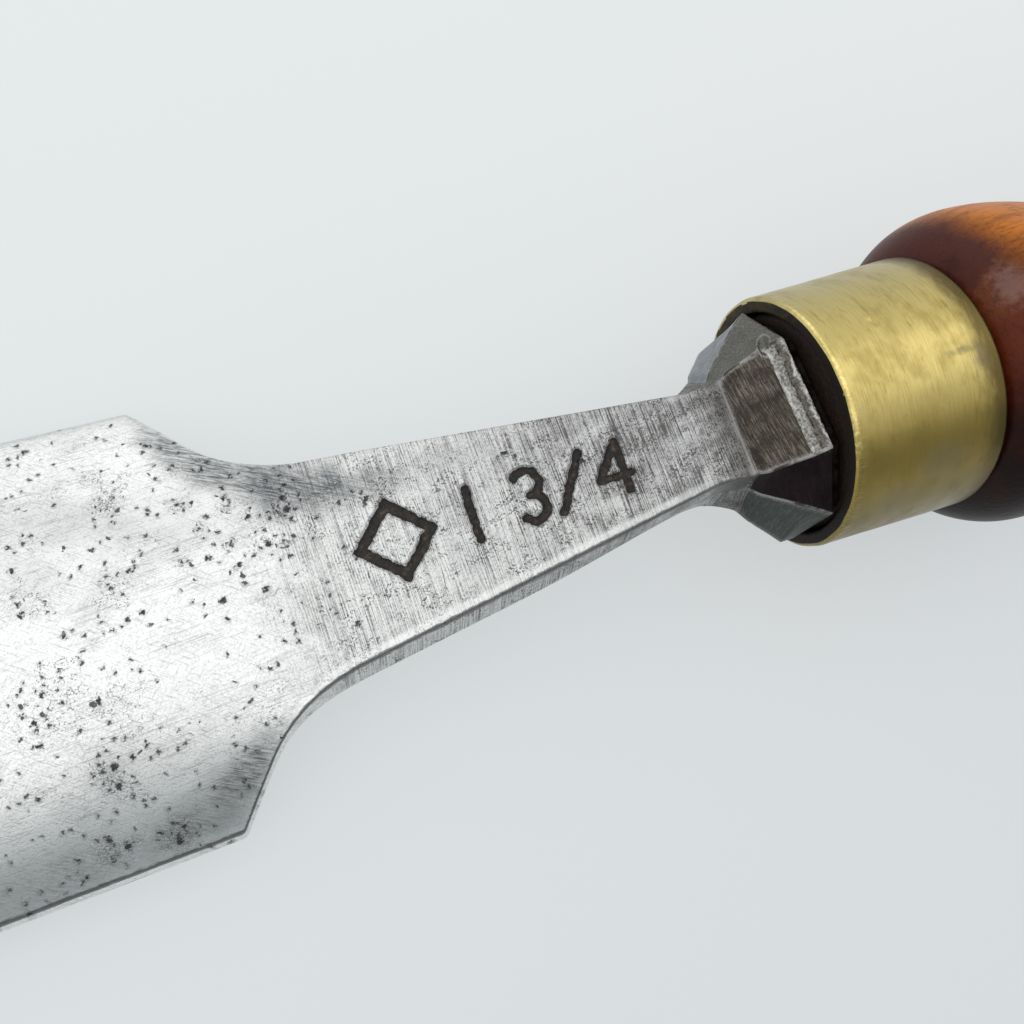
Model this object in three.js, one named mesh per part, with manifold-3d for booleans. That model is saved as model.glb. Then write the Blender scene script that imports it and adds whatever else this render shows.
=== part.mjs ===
// A large tanged firmer gouge: one steel forging (blade, neck, bolster and tang),
// a brass ferrule and a turned handle. Millimetres, +Z up, handle towards +X.
// The tool lies on a bench, hollow side down, on the two corners of its cutting
// edge and on the bulb of its handle.

import * as THREE from "three";
import { mergeVertices } from "three/addons/utils/BufferGeometryUtils.js";
import Module from "manifold-3d";

const wasm = await Module();
wasm.setup();

// Driving dimensions, in millimetres unless the name says otherwise.
// All lengthwise places are measured from the front face of the ferrule.

// Fit between pieces, and the least size of a facet after a cut
const clearance = 0.3;
const meshTolerance = 0.01;

// Blade
const bladeLength = 112;
const shoulderWidth = 41;
const cuttingEdgeWidth = 44.5;
const backRadius = 36;
const bladeThickness = 3.6;
const sideThickness = 2.5;
const backChamferWidth = 0.55;
const hollowChamferWidth = 0.3;
const bevelDegrees = 25;
const cuttingEdgeThickness = 0.2;

// Neck
const shoulderDistance = 59;
const neckWidth = 9.2;
const neckTaperDegrees = 8;
const neckTopAtBolster = 4.5;
const neckBottomAtBolster = 4.3;
const backDrop = 6.1;
const neckFlatLength = 39;
const archStartShare = 0.8;
const neckSideDraft = 0.4;
const neckLeftDraftGrowth = 0.72;
const neckLeftDraftRun = 20;
const neckDraftDepth = 2.8;
const neckFlareLength = 3.2;
const neckFlareWidth = 0.3;
const neckSideFlare = 1.45;
const neckSideFlareLength = 6;
const shoulderFilletRadius = 15;
const shoulderDegrees = 52;
const shoulderCornerRadius = 0.8;

// Bolster
const bolsterLength = 6.7;
const bolsterLandLength = 1.6;
const bolsterRimDepth = 0.4;
const bolsterWidth = 21.6;
const bolsterHeight = 17.2;
const bolsterTopFacetWidth = 11.2;
const bolsterSideFacetHeight = 8.2;
const bolsterLandRise = 1.1;
const bolsterRollDegrees = 4;

// Tang
const tangLength = 66;
const tangRootWidth = 7.2;
const tangTipWidth = 2.6;
const tangChamfer = 0.4;

// Ferrule
const ferruleLength = 16.3;
const ferruleFrontDiameter = 25.4;
const ferruleBackDiameter = 26.2;
const ferruleWall = 1.5;
const ferruleChamfer = 0.45;

// Handle
const handleRecess = 0.6;
const bulbDiameter = 33.2;
const bulbShoulderLength = 7.1;
const bulbRootDiameter = 22.2;
const waistDiameter = 24.4;
const waistDistance = 47;
const barrelDiameter = 31.6;
const barrelDistance = 112;
const handleEndDistance = 143;
const buttFlatDiameter = 10;
const noseChamfer = 0.4;

// Struck size mark on the neck
const markDepth = 0.35;
const markFigureHeight = 4.8;
const markFigureWidth = 3;
const markStroke = 0.7;
const markGap = 1.5;
const markCentreDistance = 25;
const cartoucheLength = 8.4;
const cartoucheWidth = 8.4;
const cartoucheCentreDistance = 39.3;
const cartoucheRim = 1.7;
const bowTurnShare = 0.8;
const stemShare = 0.8;
const barShare = 0.33;

// Numbers of facets
const topSteps = 20;
const filletSteps = 9;
const cornerSteps = 4;
const bladeSteps = 14;
const roundSteps = 72;
const profileSteps = 14;
const strokeSteps = 8;

// Worked-out sizes
const radians = THREE.MathUtils.degToRad;
const tipDistance = shoulderDistance + bladeLength;
const bolsterBack = handleRecess - clearance;
const rimPlane = -clearance - bolsterRimDepth;
const landPlane = rimPlane - bolsterLandLength;
const ferruleBoreFront = ferruleFrontDiameter / 2 - ferruleWall;
const ferruleBoreBack = ferruleBackDiameter / 2 - ferruleWall;
const bulbStart = ferruleLength + clearance;
const bulbDistance = bulbStart + bulbShoulderLength;
const bevelLength = bladeThickness / Math.tan(radians(bevelDegrees));

// Height lost on an arc of the given curvature at half-width y.
function arcDrop(curvature, y) {
  const turn = curvature * y;
  const cosine = Math.sqrt(Math.max(0, 1 - turn * turn));
  return turn * y / (1 + cosine);
}

// Smooth rise from 0 to 1 while value goes from start to end.
function ease(value, start, end) {
  const share = THREE.MathUtils.clamp((value - start) / (end - start), 0, 1);
  return share * share * (3 - 2 * share);
}

// Half outline of neck and shoulder: the neck's straight taper, the round
// fillet, the straight shoulder and the blade's corner, as { u, width } points,
// where u is the distance in front of the ferrule and width a half-width.
function neckOutline() {
  const taper = radians(neckTaperDegrees);
  const shoulder = radians(shoulderDegrees);
  const halfShoulder = shoulderWidth / 2;
  const arcRun = shoulderFilletRadius * (Math.sin(shoulder) - Math.sin(taper));
  const arcRise = shoulderFilletRadius * (Math.cos(taper) - Math.cos(shoulder));
  const slope = Math.tan(taper);
  const steep = Math.tan(shoulder);
  const start = bolsterLength + neckFlareLength;
  const climb = halfShoulder - neckWidth / 2 - arcRise - steep * (shoulderDistance - arcRun);
  const filletStart = (climb + slope * start) / (slope - steep);
  const points = [];
  points.push({ u: start, width: neckWidth / 2 });
  const filletWidth = neckWidth / 2 + slope * (filletStart - start);
  for (let step = 0; step <= filletSteps; step++) {
    const turn = THREE.MathUtils.lerp(taper, shoulder, step / filletSteps);
    points.push({
      u: filletStart + shoulderFilletRadius * (Math.sin(turn) - Math.sin(taper)),
      width: filletWidth + shoulderFilletRadius * (Math.cos(taper) - Math.cos(turn)),
    });
  }
  const flare = Math.atan((cuttingEdgeWidth - shoulderWidth) / 2 / bladeLength);
  const setBack = shoulderCornerRadius * Math.tan((shoulder - flare) / 2);
  const centreU = shoulderDistance - setBack * Math.cos(shoulder) + shoulderCornerRadius * Math.sin(shoulder);
  const centreWidth = halfShoulder - setBack * Math.sin(shoulder) - shoulderCornerRadius * Math.cos(shoulder);
  for (let step = 0; step <= cornerSteps; step++) {
    const turn = THREE.MathUtils.lerp(shoulder, flare, step / cornerSteps);
    points.push({
      u: centreU - shoulderCornerRadius * Math.sin(turn),
      width: centreWidth + shoulderCornerRadius * Math.cos(turn),
    });
  }
  points.push({ u: tipDistance, width: cuttingEdgeWidth / 2 });
  return points;
}

const outline = neckOutline();

// Half-width of the back's flat or arched face at distance u before the ferrule.
function backHalfWidth(u) {
  const index = outline.findIndex((point) => point.u >= u);
  if (index <= 0) {
    const near = THREE.MathUtils.clamp((outline[0].u - u) / neckFlareLength, 0, 1);
    return outline[0].width + neckFlareWidth * near * near;
  }
  const before = outline[index - 1];
  const after = outline[index];
  return THREE.MathUtils.mapLinear(u, before.u, after.u, before.width, after.width);
}

// One cross-section of the neck or blade at distance u before the ferrule. The
// neck is a flat-backed, drafted bar that turns into the blade's arched plate.
// Its left side is filed with more draft than its right one.
function steelSection(u) {
  const blend = ease(u, bolsterLength + neckFlatLength * archStartShare, shoulderDistance);
  const chamferBlend = ease(u, bolsterLength + neckFlatLength, shoulderDistance);
  const along = THREE.MathUtils.clamp((u - bolsterLength) / neckFlatLength, 0, 1);
  const crest = neckTopAtBolster - backDrop * along;
  const curvature = blend / backRadius;
  const half = backHalfWidth(u);
  const thin = THREE.MathUtils.lerp(neckTopAtBolster + neckBottomAtBolster, bladeThickness, along);
  const sideThick = THREE.MathUtils.lerp(thin, sideThickness, blend);
  const bottomHalf = half + THREE.MathUtils.lerp(neckSideDraft / 2, -hollowChamferWidth, chamferBlend);
  const edge = crest - arcDrop(curvature, half);
  const bottomEdge = edge - sideThick;
  const bottomCrest = crest - thin;
  const bottomDrop = bottomCrest - bottomEdge;
  const bottomCurvature = 2 * bottomDrop / (bottomHalf * bottomHalf + bottomDrop * bottomDrop);
  const bevel = THREE.MathUtils.clamp((u - (tipDistance - bevelLength)) / bevelLength, 0, 1);
  const draft = THREE.MathUtils.lerp(neckSideDraft, backChamferWidth, chamferBlend);
  const draftDepth = THREE.MathUtils.lerp(neckDraftDepth, backChamferWidth, chamferBlend);
  const lowRise = THREE.MathUtils.lerp(neckDraftDepth, hollowChamferWidth, chamferBlend);
  const side = half + draft * (1 - chamferBlend);
  const neckStart = bolsterLength + neckFlareLength;
  const growth = neckLeftDraftGrowth * ease(u, neckStart, neckStart + neckLeftDraftRun);
  const leftSide = side + growth * (1 - chamferBlend) * (1 - chamferBlend);
  const flareStart = bolsterLength + neckSideFlareLength;
  const flare = THREE.MathUtils.clamp((flareStart - u) / neckSideFlareLength, 0, 1);
  const sideFlare = neckSideFlare * flare * flare;
  const upperHeight = THREE.MathUtils.lerp(edge - draftDepth, bottomEdge + cuttingEdgeThickness, bevel);
  const lowerHeight = bottomEdge + THREE.MathUtils.lerp(lowRise, cuttingEdgeThickness / 2, bevel);
  return {
    x: -u,
    topHalf: half - draft * chamferBlend,
    top: (y) => {
      const full = crest - arcDrop(curvature, y);
      const hollow = bottomCrest - arcDrop(bottomCurvature, Math.min(Math.abs(y), bottomHalf));
      return THREE.MathUtils.lerp(full, hollow + cuttingEdgeThickness, bevel);
    },
    rightUpper: [side, upperHeight],
    rightLower: [side + sideFlare, lowerHeight],
    leftUpper: [-leftSide, upperHeight],
    leftLower: [-leftSide - sideFlare, lowerHeight],
    bottomHalf,
    bottom: (y) => bottomCrest - arcDrop(bottomCurvature, y),
  };
}

// An eight-sided section, used for the bolster and the tang. The upper corners
// of its sides can be drawn in from the lower ones.
function octagonSection(x, topHalf, topHeight, sideHalf, sideHeight, upperInset = 0) {
  return {
    x,
    topHalf,
    top: () => topHeight,
    rightUpper: [sideHalf - upperInset, sideHeight],
    rightLower: [sideHalf, -sideHeight],
    leftUpper: [upperInset - sideHalf, sideHeight],
    leftLower: [-sideHalf, -sideHeight],
    bottomHalf: topHalf,
    bottom: () => -topHeight,
  };
}

// The bolster's rim outline, shrunk by a factor and with its top and bottom
// facets and its upper corners drawn in by a fall.
function bolsterSection(x, factor, fall) {
  return octagonSection(
    x,
    bolsterTopFacetWidth / 2 * factor,
    bolsterHeight / 2 * factor - fall,
    bolsterWidth / 2 * factor,
    bolsterSideFacetHeight / 2 * factor,
    fall,
  );
}

function tangSection(x, width) {
  return octagonSection(x, width / 2 - tangChamfer, width / 2, width / 2, width / 2 - tangChamfer);
}

// The points of one section, round the bar: back, right side, hollow, left side.
function ringPoints(section, roll) {
  const ring = [];
  for (let step = 0; step <= topSteps; step++) {
    const y = section.topHalf * (2 * step / topSteps - 1);
    ring.push([y, section.top(y)]);
  }
  ring.push(section.rightUpper, section.rightLower);
  for (let step = 0; step <= topSteps; step++) {
    const y = section.bottomHalf * (1 - 2 * step / topSteps);
    ring.push([y, section.bottom(y)]);
  }
  ring.push(section.leftLower, section.leftUpper);
  const cos = Math.cos(roll);
  const sin = Math.sin(roll);
  return ring.map(([y, z]) => new THREE.Vector3(section.x, y * cos - z * sin, y * sin + z * cos));
}

// A closed skin through a row of rings that all have the same number of points.
function loftRings(rings) {
  const count = rings[0].length;
  const positions = rings.flat().flatMap((point) => point.toArray());
  const indices = [];
  for (let row = 0; row + 1 < rings.length; row++) {
    for (let column = 0; column < count; column++) {
      const next = (column + 1) % count;
      const a = row * count + column;
      const b = row * count + next;
      indices.push(a, a + count, b, b, a + count, b + count);
    }
  }
  indices.push(...capTriangles(0, false), ...capTriangles((rings.length - 1) * count, true));
  const geometry = new THREE.BufferGeometry();
  geometry.setAttribute("position", new THREE.Float32BufferAttribute(positions, 3));
  geometry.setIndex(indices);
  return geometry;
}

// Closes one end: each strip of the back is joined to the strip of the hollow
// below it, and the two sides are closed with what is left.
function capTriangles(offset, flip) {
  const triangles = [];
  const bottomStart = topSteps + 3;
  const last = bottomStart + topSteps;
  const quads = [[topSteps, topSteps + 1, topSteps + 2, bottomStart]];
  quads.push([last, last + 1, last + 2, 0]);
  for (let step = 0; step < topSteps; step++) {
    quads.push([step, step + 1, last - step - 1, last - step]);
  }
  for (const [a, b, c, d] of quads) {
    const pair = flip ? [a, c, b, a, d, c] : [a, b, c, a, c, d];
    triangles.push(...pair.map((index) => index + offset));
  }
  return triangles;
}

// All distances before the ferrule at which the neck and blade get a section.
function steelStations() {
  const stations = [];
  for (let step = 0; step <= profileSteps / 2; step++) {
    stations.push(bolsterLength + neckFlareLength * step / (profileSteps / 2));
  }
  const filletStart = outline[1].u;
  const neckStart = bolsterLength + neckFlareLength;
  for (let step = 1; step < bladeSteps; step++) {
    stations.push(THREE.MathUtils.lerp(neckStart, filletStart, step / bladeSteps));
  }
  const shoulderPoints = outline.slice(1, -1).map((point) => point.u);
  const filletEnd = shoulderPoints[filletSteps];
  const cornerStart = shoulderPoints[filletSteps + 1];
  shoulderPoints.push(THREE.MathUtils.lerp(filletEnd, cornerStart, 1 / 2));
  stations.push(...shoulderPoints.sort((first, second) => first - second));
  const bladeStart = stations[stations.length - 1];
  const bevelStart = tipDistance - bevelLength;
  for (let step = 1; step <= bladeSteps; step++) {
    stations.push(THREE.MathUtils.lerp(bladeStart, bevelStart, step / bladeSteps));
  }
  stations.push(tipDistance);
  return stations;
}

// Manifold solid from a closed geometry, and back.
function toSolid(geometry) {
  const bare = geometry.clone();
  bare.deleteAttribute("normal");
  bare.deleteAttribute("uv");
  const merged = mergeVertices(bare);
  return new wasm.Manifold(new wasm.Mesh({
    numProp: 3,
    vertProperties: new Float32Array(merged.attributes.position.array),
    triVerts: new Uint32Array(merged.index.array),
  }));
}

function toGeometry(solid) {
  const mesh = solid.getMesh();
  const geometry = new THREE.BufferGeometry();
  geometry.setAttribute("position", new THREE.BufferAttribute(mesh.vertProperties, 3));
  geometry.setIndex(new THREE.BufferAttribute(mesh.triVerts, 1));
  return geometry;
}

// Turns a lathe or cylinder geometry, made round Y, so that its axis is X.
function alongX(geometry) {
  return geometry.rotateZ(-Math.PI / 2);
}

// The place of the neck's flat back: a frame whose X runs along the slope
// towards the handle, Y across and Z straight out of the face.
function neckFaceMatrix(distance) {
  const slope = Math.atan(backDrop / neckFlatLength);
  const height = neckTopAtBolster - (distance - bolsterLength) * backDrop / neckFlatLength;
  const matrix = new THREE.Matrix4().makeRotationY(-slope);
  return matrix.setPosition(-distance, 0, height);
}

// Outline of one straight stroke of a figure, with round ends.
function strokeShape(from, to) {
  const start = new THREE.Vector2(...from);
  const end = new THREE.Vector2(...to);
  const angle = end.clone().sub(start).angle();
  const shape = new THREE.Shape();
  shape.absarc(end.x, end.y, markStroke / 2, angle - Math.PI / 2, angle + Math.PI / 2, false);
  shape.absarc(start.x, start.y, markStroke / 2, angle + Math.PI / 2, angle + Math.PI * 3 / 2, false);
  shape.closePath();
  return shape;
}

// Outline of one curved stroke: part of a ring about a centre.
function bowShape(centre, radius, startAngle, endAngle) {
  const outer = radius + markStroke / 2;
  const inner = radius - markStroke / 2;
  const shape = new THREE.Shape();
  shape.absarc(centre[0], centre[1], outer, startAngle, endAngle, false);
  shape.absarc(centre[0], centre[1], inner, endAngle, startAngle, true);
  shape.closePath();
  return shape;
}

// The figures 1, 3 and 4 and the slash, in a frame with its origin at the
// figure's lower left corner.
function figureShapes(name) {
  const width = markFigureWidth;
  const height = markFigureHeight;
  const bow = height / 4;
  if (name === "1") {
    return [strokeShape([width / 2, 0], [width / 2, height])];
  }
  if (name === "/") {
    return [strokeShape([0, 0], [width, height])];
  }
  if (name === "3") {
    return [
      bowShape([width / 2, bow], bow, -Math.PI * bowTurnShare, Math.PI / 2),
      bowShape([width / 2, 3 * bow], bow, -Math.PI / 2, Math.PI * bowTurnShare),
    ];
  }
  return [
    strokeShape([width * stemShare, 0], [width * stemShare, height]),
    strokeShape([0, height * barShare], [width, height * barShare]),
    strokeShape([0, height * barShare], [width * stemShare, height]),
  ];
}

// Solid of the given flat outlines, joined and sunk by the mark's depth below a
// face of the neck. They are joined while they still lie level, so that their
// floors are one plane.
function markSolid(shapes, matrix) {
  const strokes = shapes.map((shape) => toSolid(new THREE.ExtrudeGeometry(shape, {
    depth: markDepth * 2,
    bevelEnabled: false,
    curveSegments: strokeSteps,
  }).translate(0, 0, -markDepth)));
  const joined = strokes.reduce((sum, stroke) => sum.add(stroke));
  return toSolid(toGeometry(joined.asOriginal().simplify(meshTolerance)).applyMatrix4(matrix));
}

// The struck size, one and three quarters, read from the handle's right side.
function sizeMarkSolids() {
  const figures = ["1", "3", "/", "4"];
  const pitch = markFigureWidth + markGap;
  const start = -(figures.length * pitch - markGap) / 2;
  const matrix = neckFaceMatrix(markCentreDistance);
  return figures.map((name, index) => {
    const shift = new THREE.Matrix4().makeTranslation(start + index * pitch, -markFigureHeight / 2, 0);
    return markSolid(figureShapes(name), matrix.clone().multiply(shift));
  });
}

// A plain struck lozenge round a raised centre.
function cartoucheSolid() {
  const length = cartoucheLength / 2;
  const width = cartoucheWidth / 2;
  const lozenge = (inset) => [
    [length - inset, 0],
    [0, width - inset],
    [-length + inset, 0],
    [0, -width + inset],
  ].map((point) => new THREE.Vector2(...point));
  const shape = new THREE.Shape(lozenge(0));
  shape.holes.push(new THREE.Path(lozenge(cartoucheRim)));
  return markSolid([shape], neckFaceMatrix(cartoucheCentreDistance));
}

// Blade, neck, bolster and tang in one forging.
function makeForging() {
  const roll = radians(-bolsterRollDegrees);
  const corner = Math.hypot(bolsterWidth / 2, bolsterSideFacetHeight / 2);
  const crown = Math.hypot(bolsterTopFacetWidth / 2, bolsterHeight / 2);
  const seatFactor = Math.min(1, (ferruleBoreFront - clearance) / Math.max(corner, crown));
  const rings = steelStations().reverse().map((u) => ringPoints(steelSection(u), 0));
  rings.push(ringPoints(bolsterSection(landPlane, 1, bolsterLandRise), roll));
  rings.push(ringPoints(bolsterSection(rimPlane, 1, 0), roll));
  rings.push(ringPoints(bolsterSection(-clearance, seatFactor, 0), roll));
  rings.push(ringPoints(bolsterSection(bolsterBack, seatFactor, 0), roll));
  rings.push(ringPoints(tangSection(bolsterBack, tangRootWidth), 0));
  rings.push(ringPoints(tangSection(bolsterBack + tangLength, tangTipWidth), 0));
  let solid = toSolid(loftRings(rings)).asOriginal().simplify(meshTolerance);
  for (const mark of [...sizeMarkSolids(), cartoucheSolid()]) {
    solid = solid.subtract(mark);
  }
  return toGeometry(solid.asOriginal().simplify(meshTolerance));
}

// A short, slightly conical tube with a chamfer at its front outer edge.
function makeFerrule() {
  const front = ferruleFrontDiameter / 2;
  const back = ferruleBackDiameter / 2;
  const profile = [
    new THREE.Vector2(ferruleBoreFront, 0),
    new THREE.Vector2(front - ferruleChamfer, 0),
    new THREE.Vector2(front, ferruleChamfer),
    new THREE.Vector2(back, ferruleLength),
    new THREE.Vector2(ferruleBoreBack, ferruleLength),
    new THREE.Vector2(ferruleBoreFront, 0),
  ];
  return alongX(new THREE.LatheGeometry(profile, roundSteps));
}

// Radius of the handle behind its bulb: a cosine from the bulb down to the
// waist, another up to the barrel, then the round of the butt.
function handleRadius(x) {
  const bulb = bulbDiameter / 2;
  const waist = waistDiameter / 2;
  const barrel = barrelDiameter / 2;
  if (x < waistDistance) {
    const share = (x - bulbDistance) / (waistDistance - bulbDistance);
    return THREE.MathUtils.lerp(bulb, waist, (1 - Math.cos(Math.PI * share)) / 2);
  }
  const share = (x - waistDistance) / (barrelDistance - waistDistance);
  return THREE.MathUtils.lerp(waist, barrel, (1 - Math.cos(Math.PI * share)) / 2);
}

// The turned handle, with the square hole that the tang is driven into.
function makeHandle() {
  const noseFront = ferruleBoreFront - clearance;
  const noseBack = ferruleBoreBack - clearance;
  const bulb = bulbDiameter / 2;
  const bulbRoot = bulbRootDiameter / 2;
  const barrel = barrelDiameter / 2;
  const flat = buttFlatDiameter / 2;
  const profile = [
    new THREE.Vector2(0, handleRecess),
    new THREE.Vector2(noseFront - noseChamfer, handleRecess),
    new THREE.Vector2(noseFront, handleRecess + noseChamfer),
    new THREE.Vector2(noseBack, ferruleLength),
  ];
  for (let step = 0; step <= profileSteps; step++) {
    const turn = Math.PI / 2 * step / profileSteps;
    const radius = bulbRoot + (bulb - bulbRoot) * Math.sin(turn);
    profile.push(new THREE.Vector2(radius, bulbDistance - bulbShoulderLength * Math.cos(turn)));
  }
  for (let step = 1; step <= profileSteps; step++) {
    const x = THREE.MathUtils.lerp(bulbDistance, waistDistance, step / profileSteps);
    profile.push(new THREE.Vector2(handleRadius(x), x));
  }
  for (let step = 1; step <= profileSteps; step++) {
    const x = THREE.MathUtils.lerp(waistDistance, barrelDistance, step / profileSteps);
    profile.push(new THREE.Vector2(handleRadius(x), x));
  }
  for (let step = 1; step <= profileSteps; step++) {
    const turn = Math.PI / 2 * step / profileSteps;
    const x = barrelDistance + (handleEndDistance - barrelDistance) * Math.sin(turn);
    profile.push(new THREE.Vector2(flat + (barrel - flat) * Math.cos(turn), x));
  }
  profile.push(new THREE.Vector2(0, handleEndDistance));
  const body = toSolid(alongX(new THREE.LatheGeometry(profile, roundSteps)));
  return toGeometry(body.subtract(tangHole()));
}

// The tang's shape with the fit's clearance all round, open at the handle's end.
function tangHole() {
  const slope = (tangRootWidth - tangTipWidth) / tangLength;
  const front = handleRecess - clearance;
  const back = bolsterBack + tangLength + clearance;
  const length = back - front;
  const frontWidth = tangRootWidth + 2 * clearance + slope * (bolsterBack - front);
  const backWidth = frontWidth - slope * length;
  const hole = new THREE.CylinderGeometry(backWidth / Math.SQRT2, frontWidth / Math.SQRT2, length, 4);
  hole.rotateY(Math.PI / 4);
  alongX(hole);
  hole.translate(front + length / 2, 0, 0);
  return toSolid(hole);
}

function namedMesh(name, geometry, color, metalness, roughness) {
  const material = new THREE.MeshStandardMaterial({ color, metalness, roughness, flatShading: true });
  const mesh = new THREE.Mesh(geometry, material);
  mesh.name = name;
  return mesh;
}

// The tool on its own axis, tipped so that blade corners and bulb share the bench.
function makeGouge() {
  const axisGroup = new THREE.Group();
  axisGroup.add(namedMesh("blade_forging", makeForging(), 0xa9adb0, 1, 0.35));
  axisGroup.add(namedMesh("ferrule", makeFerrule(), 0xb49a55, 1, 0.3));
  axisGroup.add(namedMesh("handle", makeHandle(), 0x6e3420, 0, 0.25));
  const tip = steelSection(tipDistance);
  const fall = bulbDiameter / 2 + tip.bottom(tip.bottomHalf);
  axisGroup.rotation.y = -Math.atan2(fall, bulbDistance + tipDistance);
  const root = new THREE.Group();
  root.name = "gouge";
  root.add(axisGroup);
  root.updateMatrixWorld(true);
  const box = new THREE.Box3().setFromObject(root, true);
  const centre = box.getCenter(new THREE.Vector3());
  root.position.set(-centre.x, -centre.y, -box.min.z);
  root.updateMatrixWorld(true);
  return root;
}

export default makeGouge();
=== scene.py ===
"""A wide tanged firmer gouge: detailed pieces, finishes and a pale studio."""

import math
from types import SimpleNamespace

import bmesh
import bpy
from bpy.props import FloatProperty, FloatVectorProperty, PointerProperty
from mathutils import Matrix, Vector, noise


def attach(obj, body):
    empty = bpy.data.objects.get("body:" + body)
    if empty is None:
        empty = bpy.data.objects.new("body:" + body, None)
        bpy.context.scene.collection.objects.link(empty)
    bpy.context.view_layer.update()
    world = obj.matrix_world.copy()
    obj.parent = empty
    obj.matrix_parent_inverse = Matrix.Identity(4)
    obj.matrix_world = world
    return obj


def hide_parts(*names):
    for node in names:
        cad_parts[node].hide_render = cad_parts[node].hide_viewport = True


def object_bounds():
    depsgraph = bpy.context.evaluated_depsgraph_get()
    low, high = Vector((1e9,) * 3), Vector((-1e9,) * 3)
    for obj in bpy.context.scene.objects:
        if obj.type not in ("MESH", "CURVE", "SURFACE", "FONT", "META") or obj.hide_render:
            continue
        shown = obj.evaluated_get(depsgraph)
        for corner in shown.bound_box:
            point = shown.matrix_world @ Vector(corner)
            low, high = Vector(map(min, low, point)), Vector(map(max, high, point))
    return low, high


bl_info = {
    "name": "Tanged Gouge",
    "version": (1, 0, 0),
    "blender": (4, 5, 0),
    "location": "View3D > Sidebar > Gouge",
    "description": "Builds a tanged firmer gouge and a pale studio round it",
    "category": "Object",
}

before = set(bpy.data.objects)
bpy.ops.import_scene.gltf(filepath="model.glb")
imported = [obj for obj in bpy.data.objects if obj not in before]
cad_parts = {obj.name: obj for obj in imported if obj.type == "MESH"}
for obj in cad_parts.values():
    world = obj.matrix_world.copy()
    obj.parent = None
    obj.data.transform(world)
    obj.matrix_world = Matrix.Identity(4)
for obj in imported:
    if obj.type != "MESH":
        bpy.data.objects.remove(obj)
CAD_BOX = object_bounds()

PER_METRE = 1000.0
BODY = "root"


def mm(value):
    """A length in millimetres, as metres."""
    return value / PER_METRE


def linear(code):
    """The linear colour of an sRGB hex code such as B9A868."""
    shares = [int(code[place : place + 2], 16) / 255 for place in (0, 2, 4)]
    return [s / 12.92 if s <= 0.04045 else ((s + 0.055) / 1.055) ** 2.4 for s in shares]


def number(name, value, description, **kind):
    """A number of some kind that a user can change."""
    return FloatProperty(name=name, description=description, default=value, **kind)


def length(name, millimetres, description):
    """A length a user can change, with its default given in millimetres."""
    return number(name, mm(millimetres), description, min=0.0, unit="LENGTH", precision=5)


def angle(name, degrees, description):
    """An angle a user can change, with its default given in degrees."""
    return number(name, math.radians(degrees), description, subtype="ANGLE")


def share(name, value, description):
    """A share from 0 to 1 that a user can change."""
    return number(name, value, description, min=0.0, max=1.0, subtype="FACTOR")


def power(name, watts, description):
    """A lamp's power that a user can change."""
    return number(name, watts, description, min=0.0, unit="POWER")


def colour(name, code, description):
    """A colour a user can change, with its default given as an sRGB hex code."""
    return FloatVectorProperty(
        name=name,
        description=description,
        default=linear(code),
        size=3,
        min=0.0,
        max=1.0,
        subtype="COLOR",
    )


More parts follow.
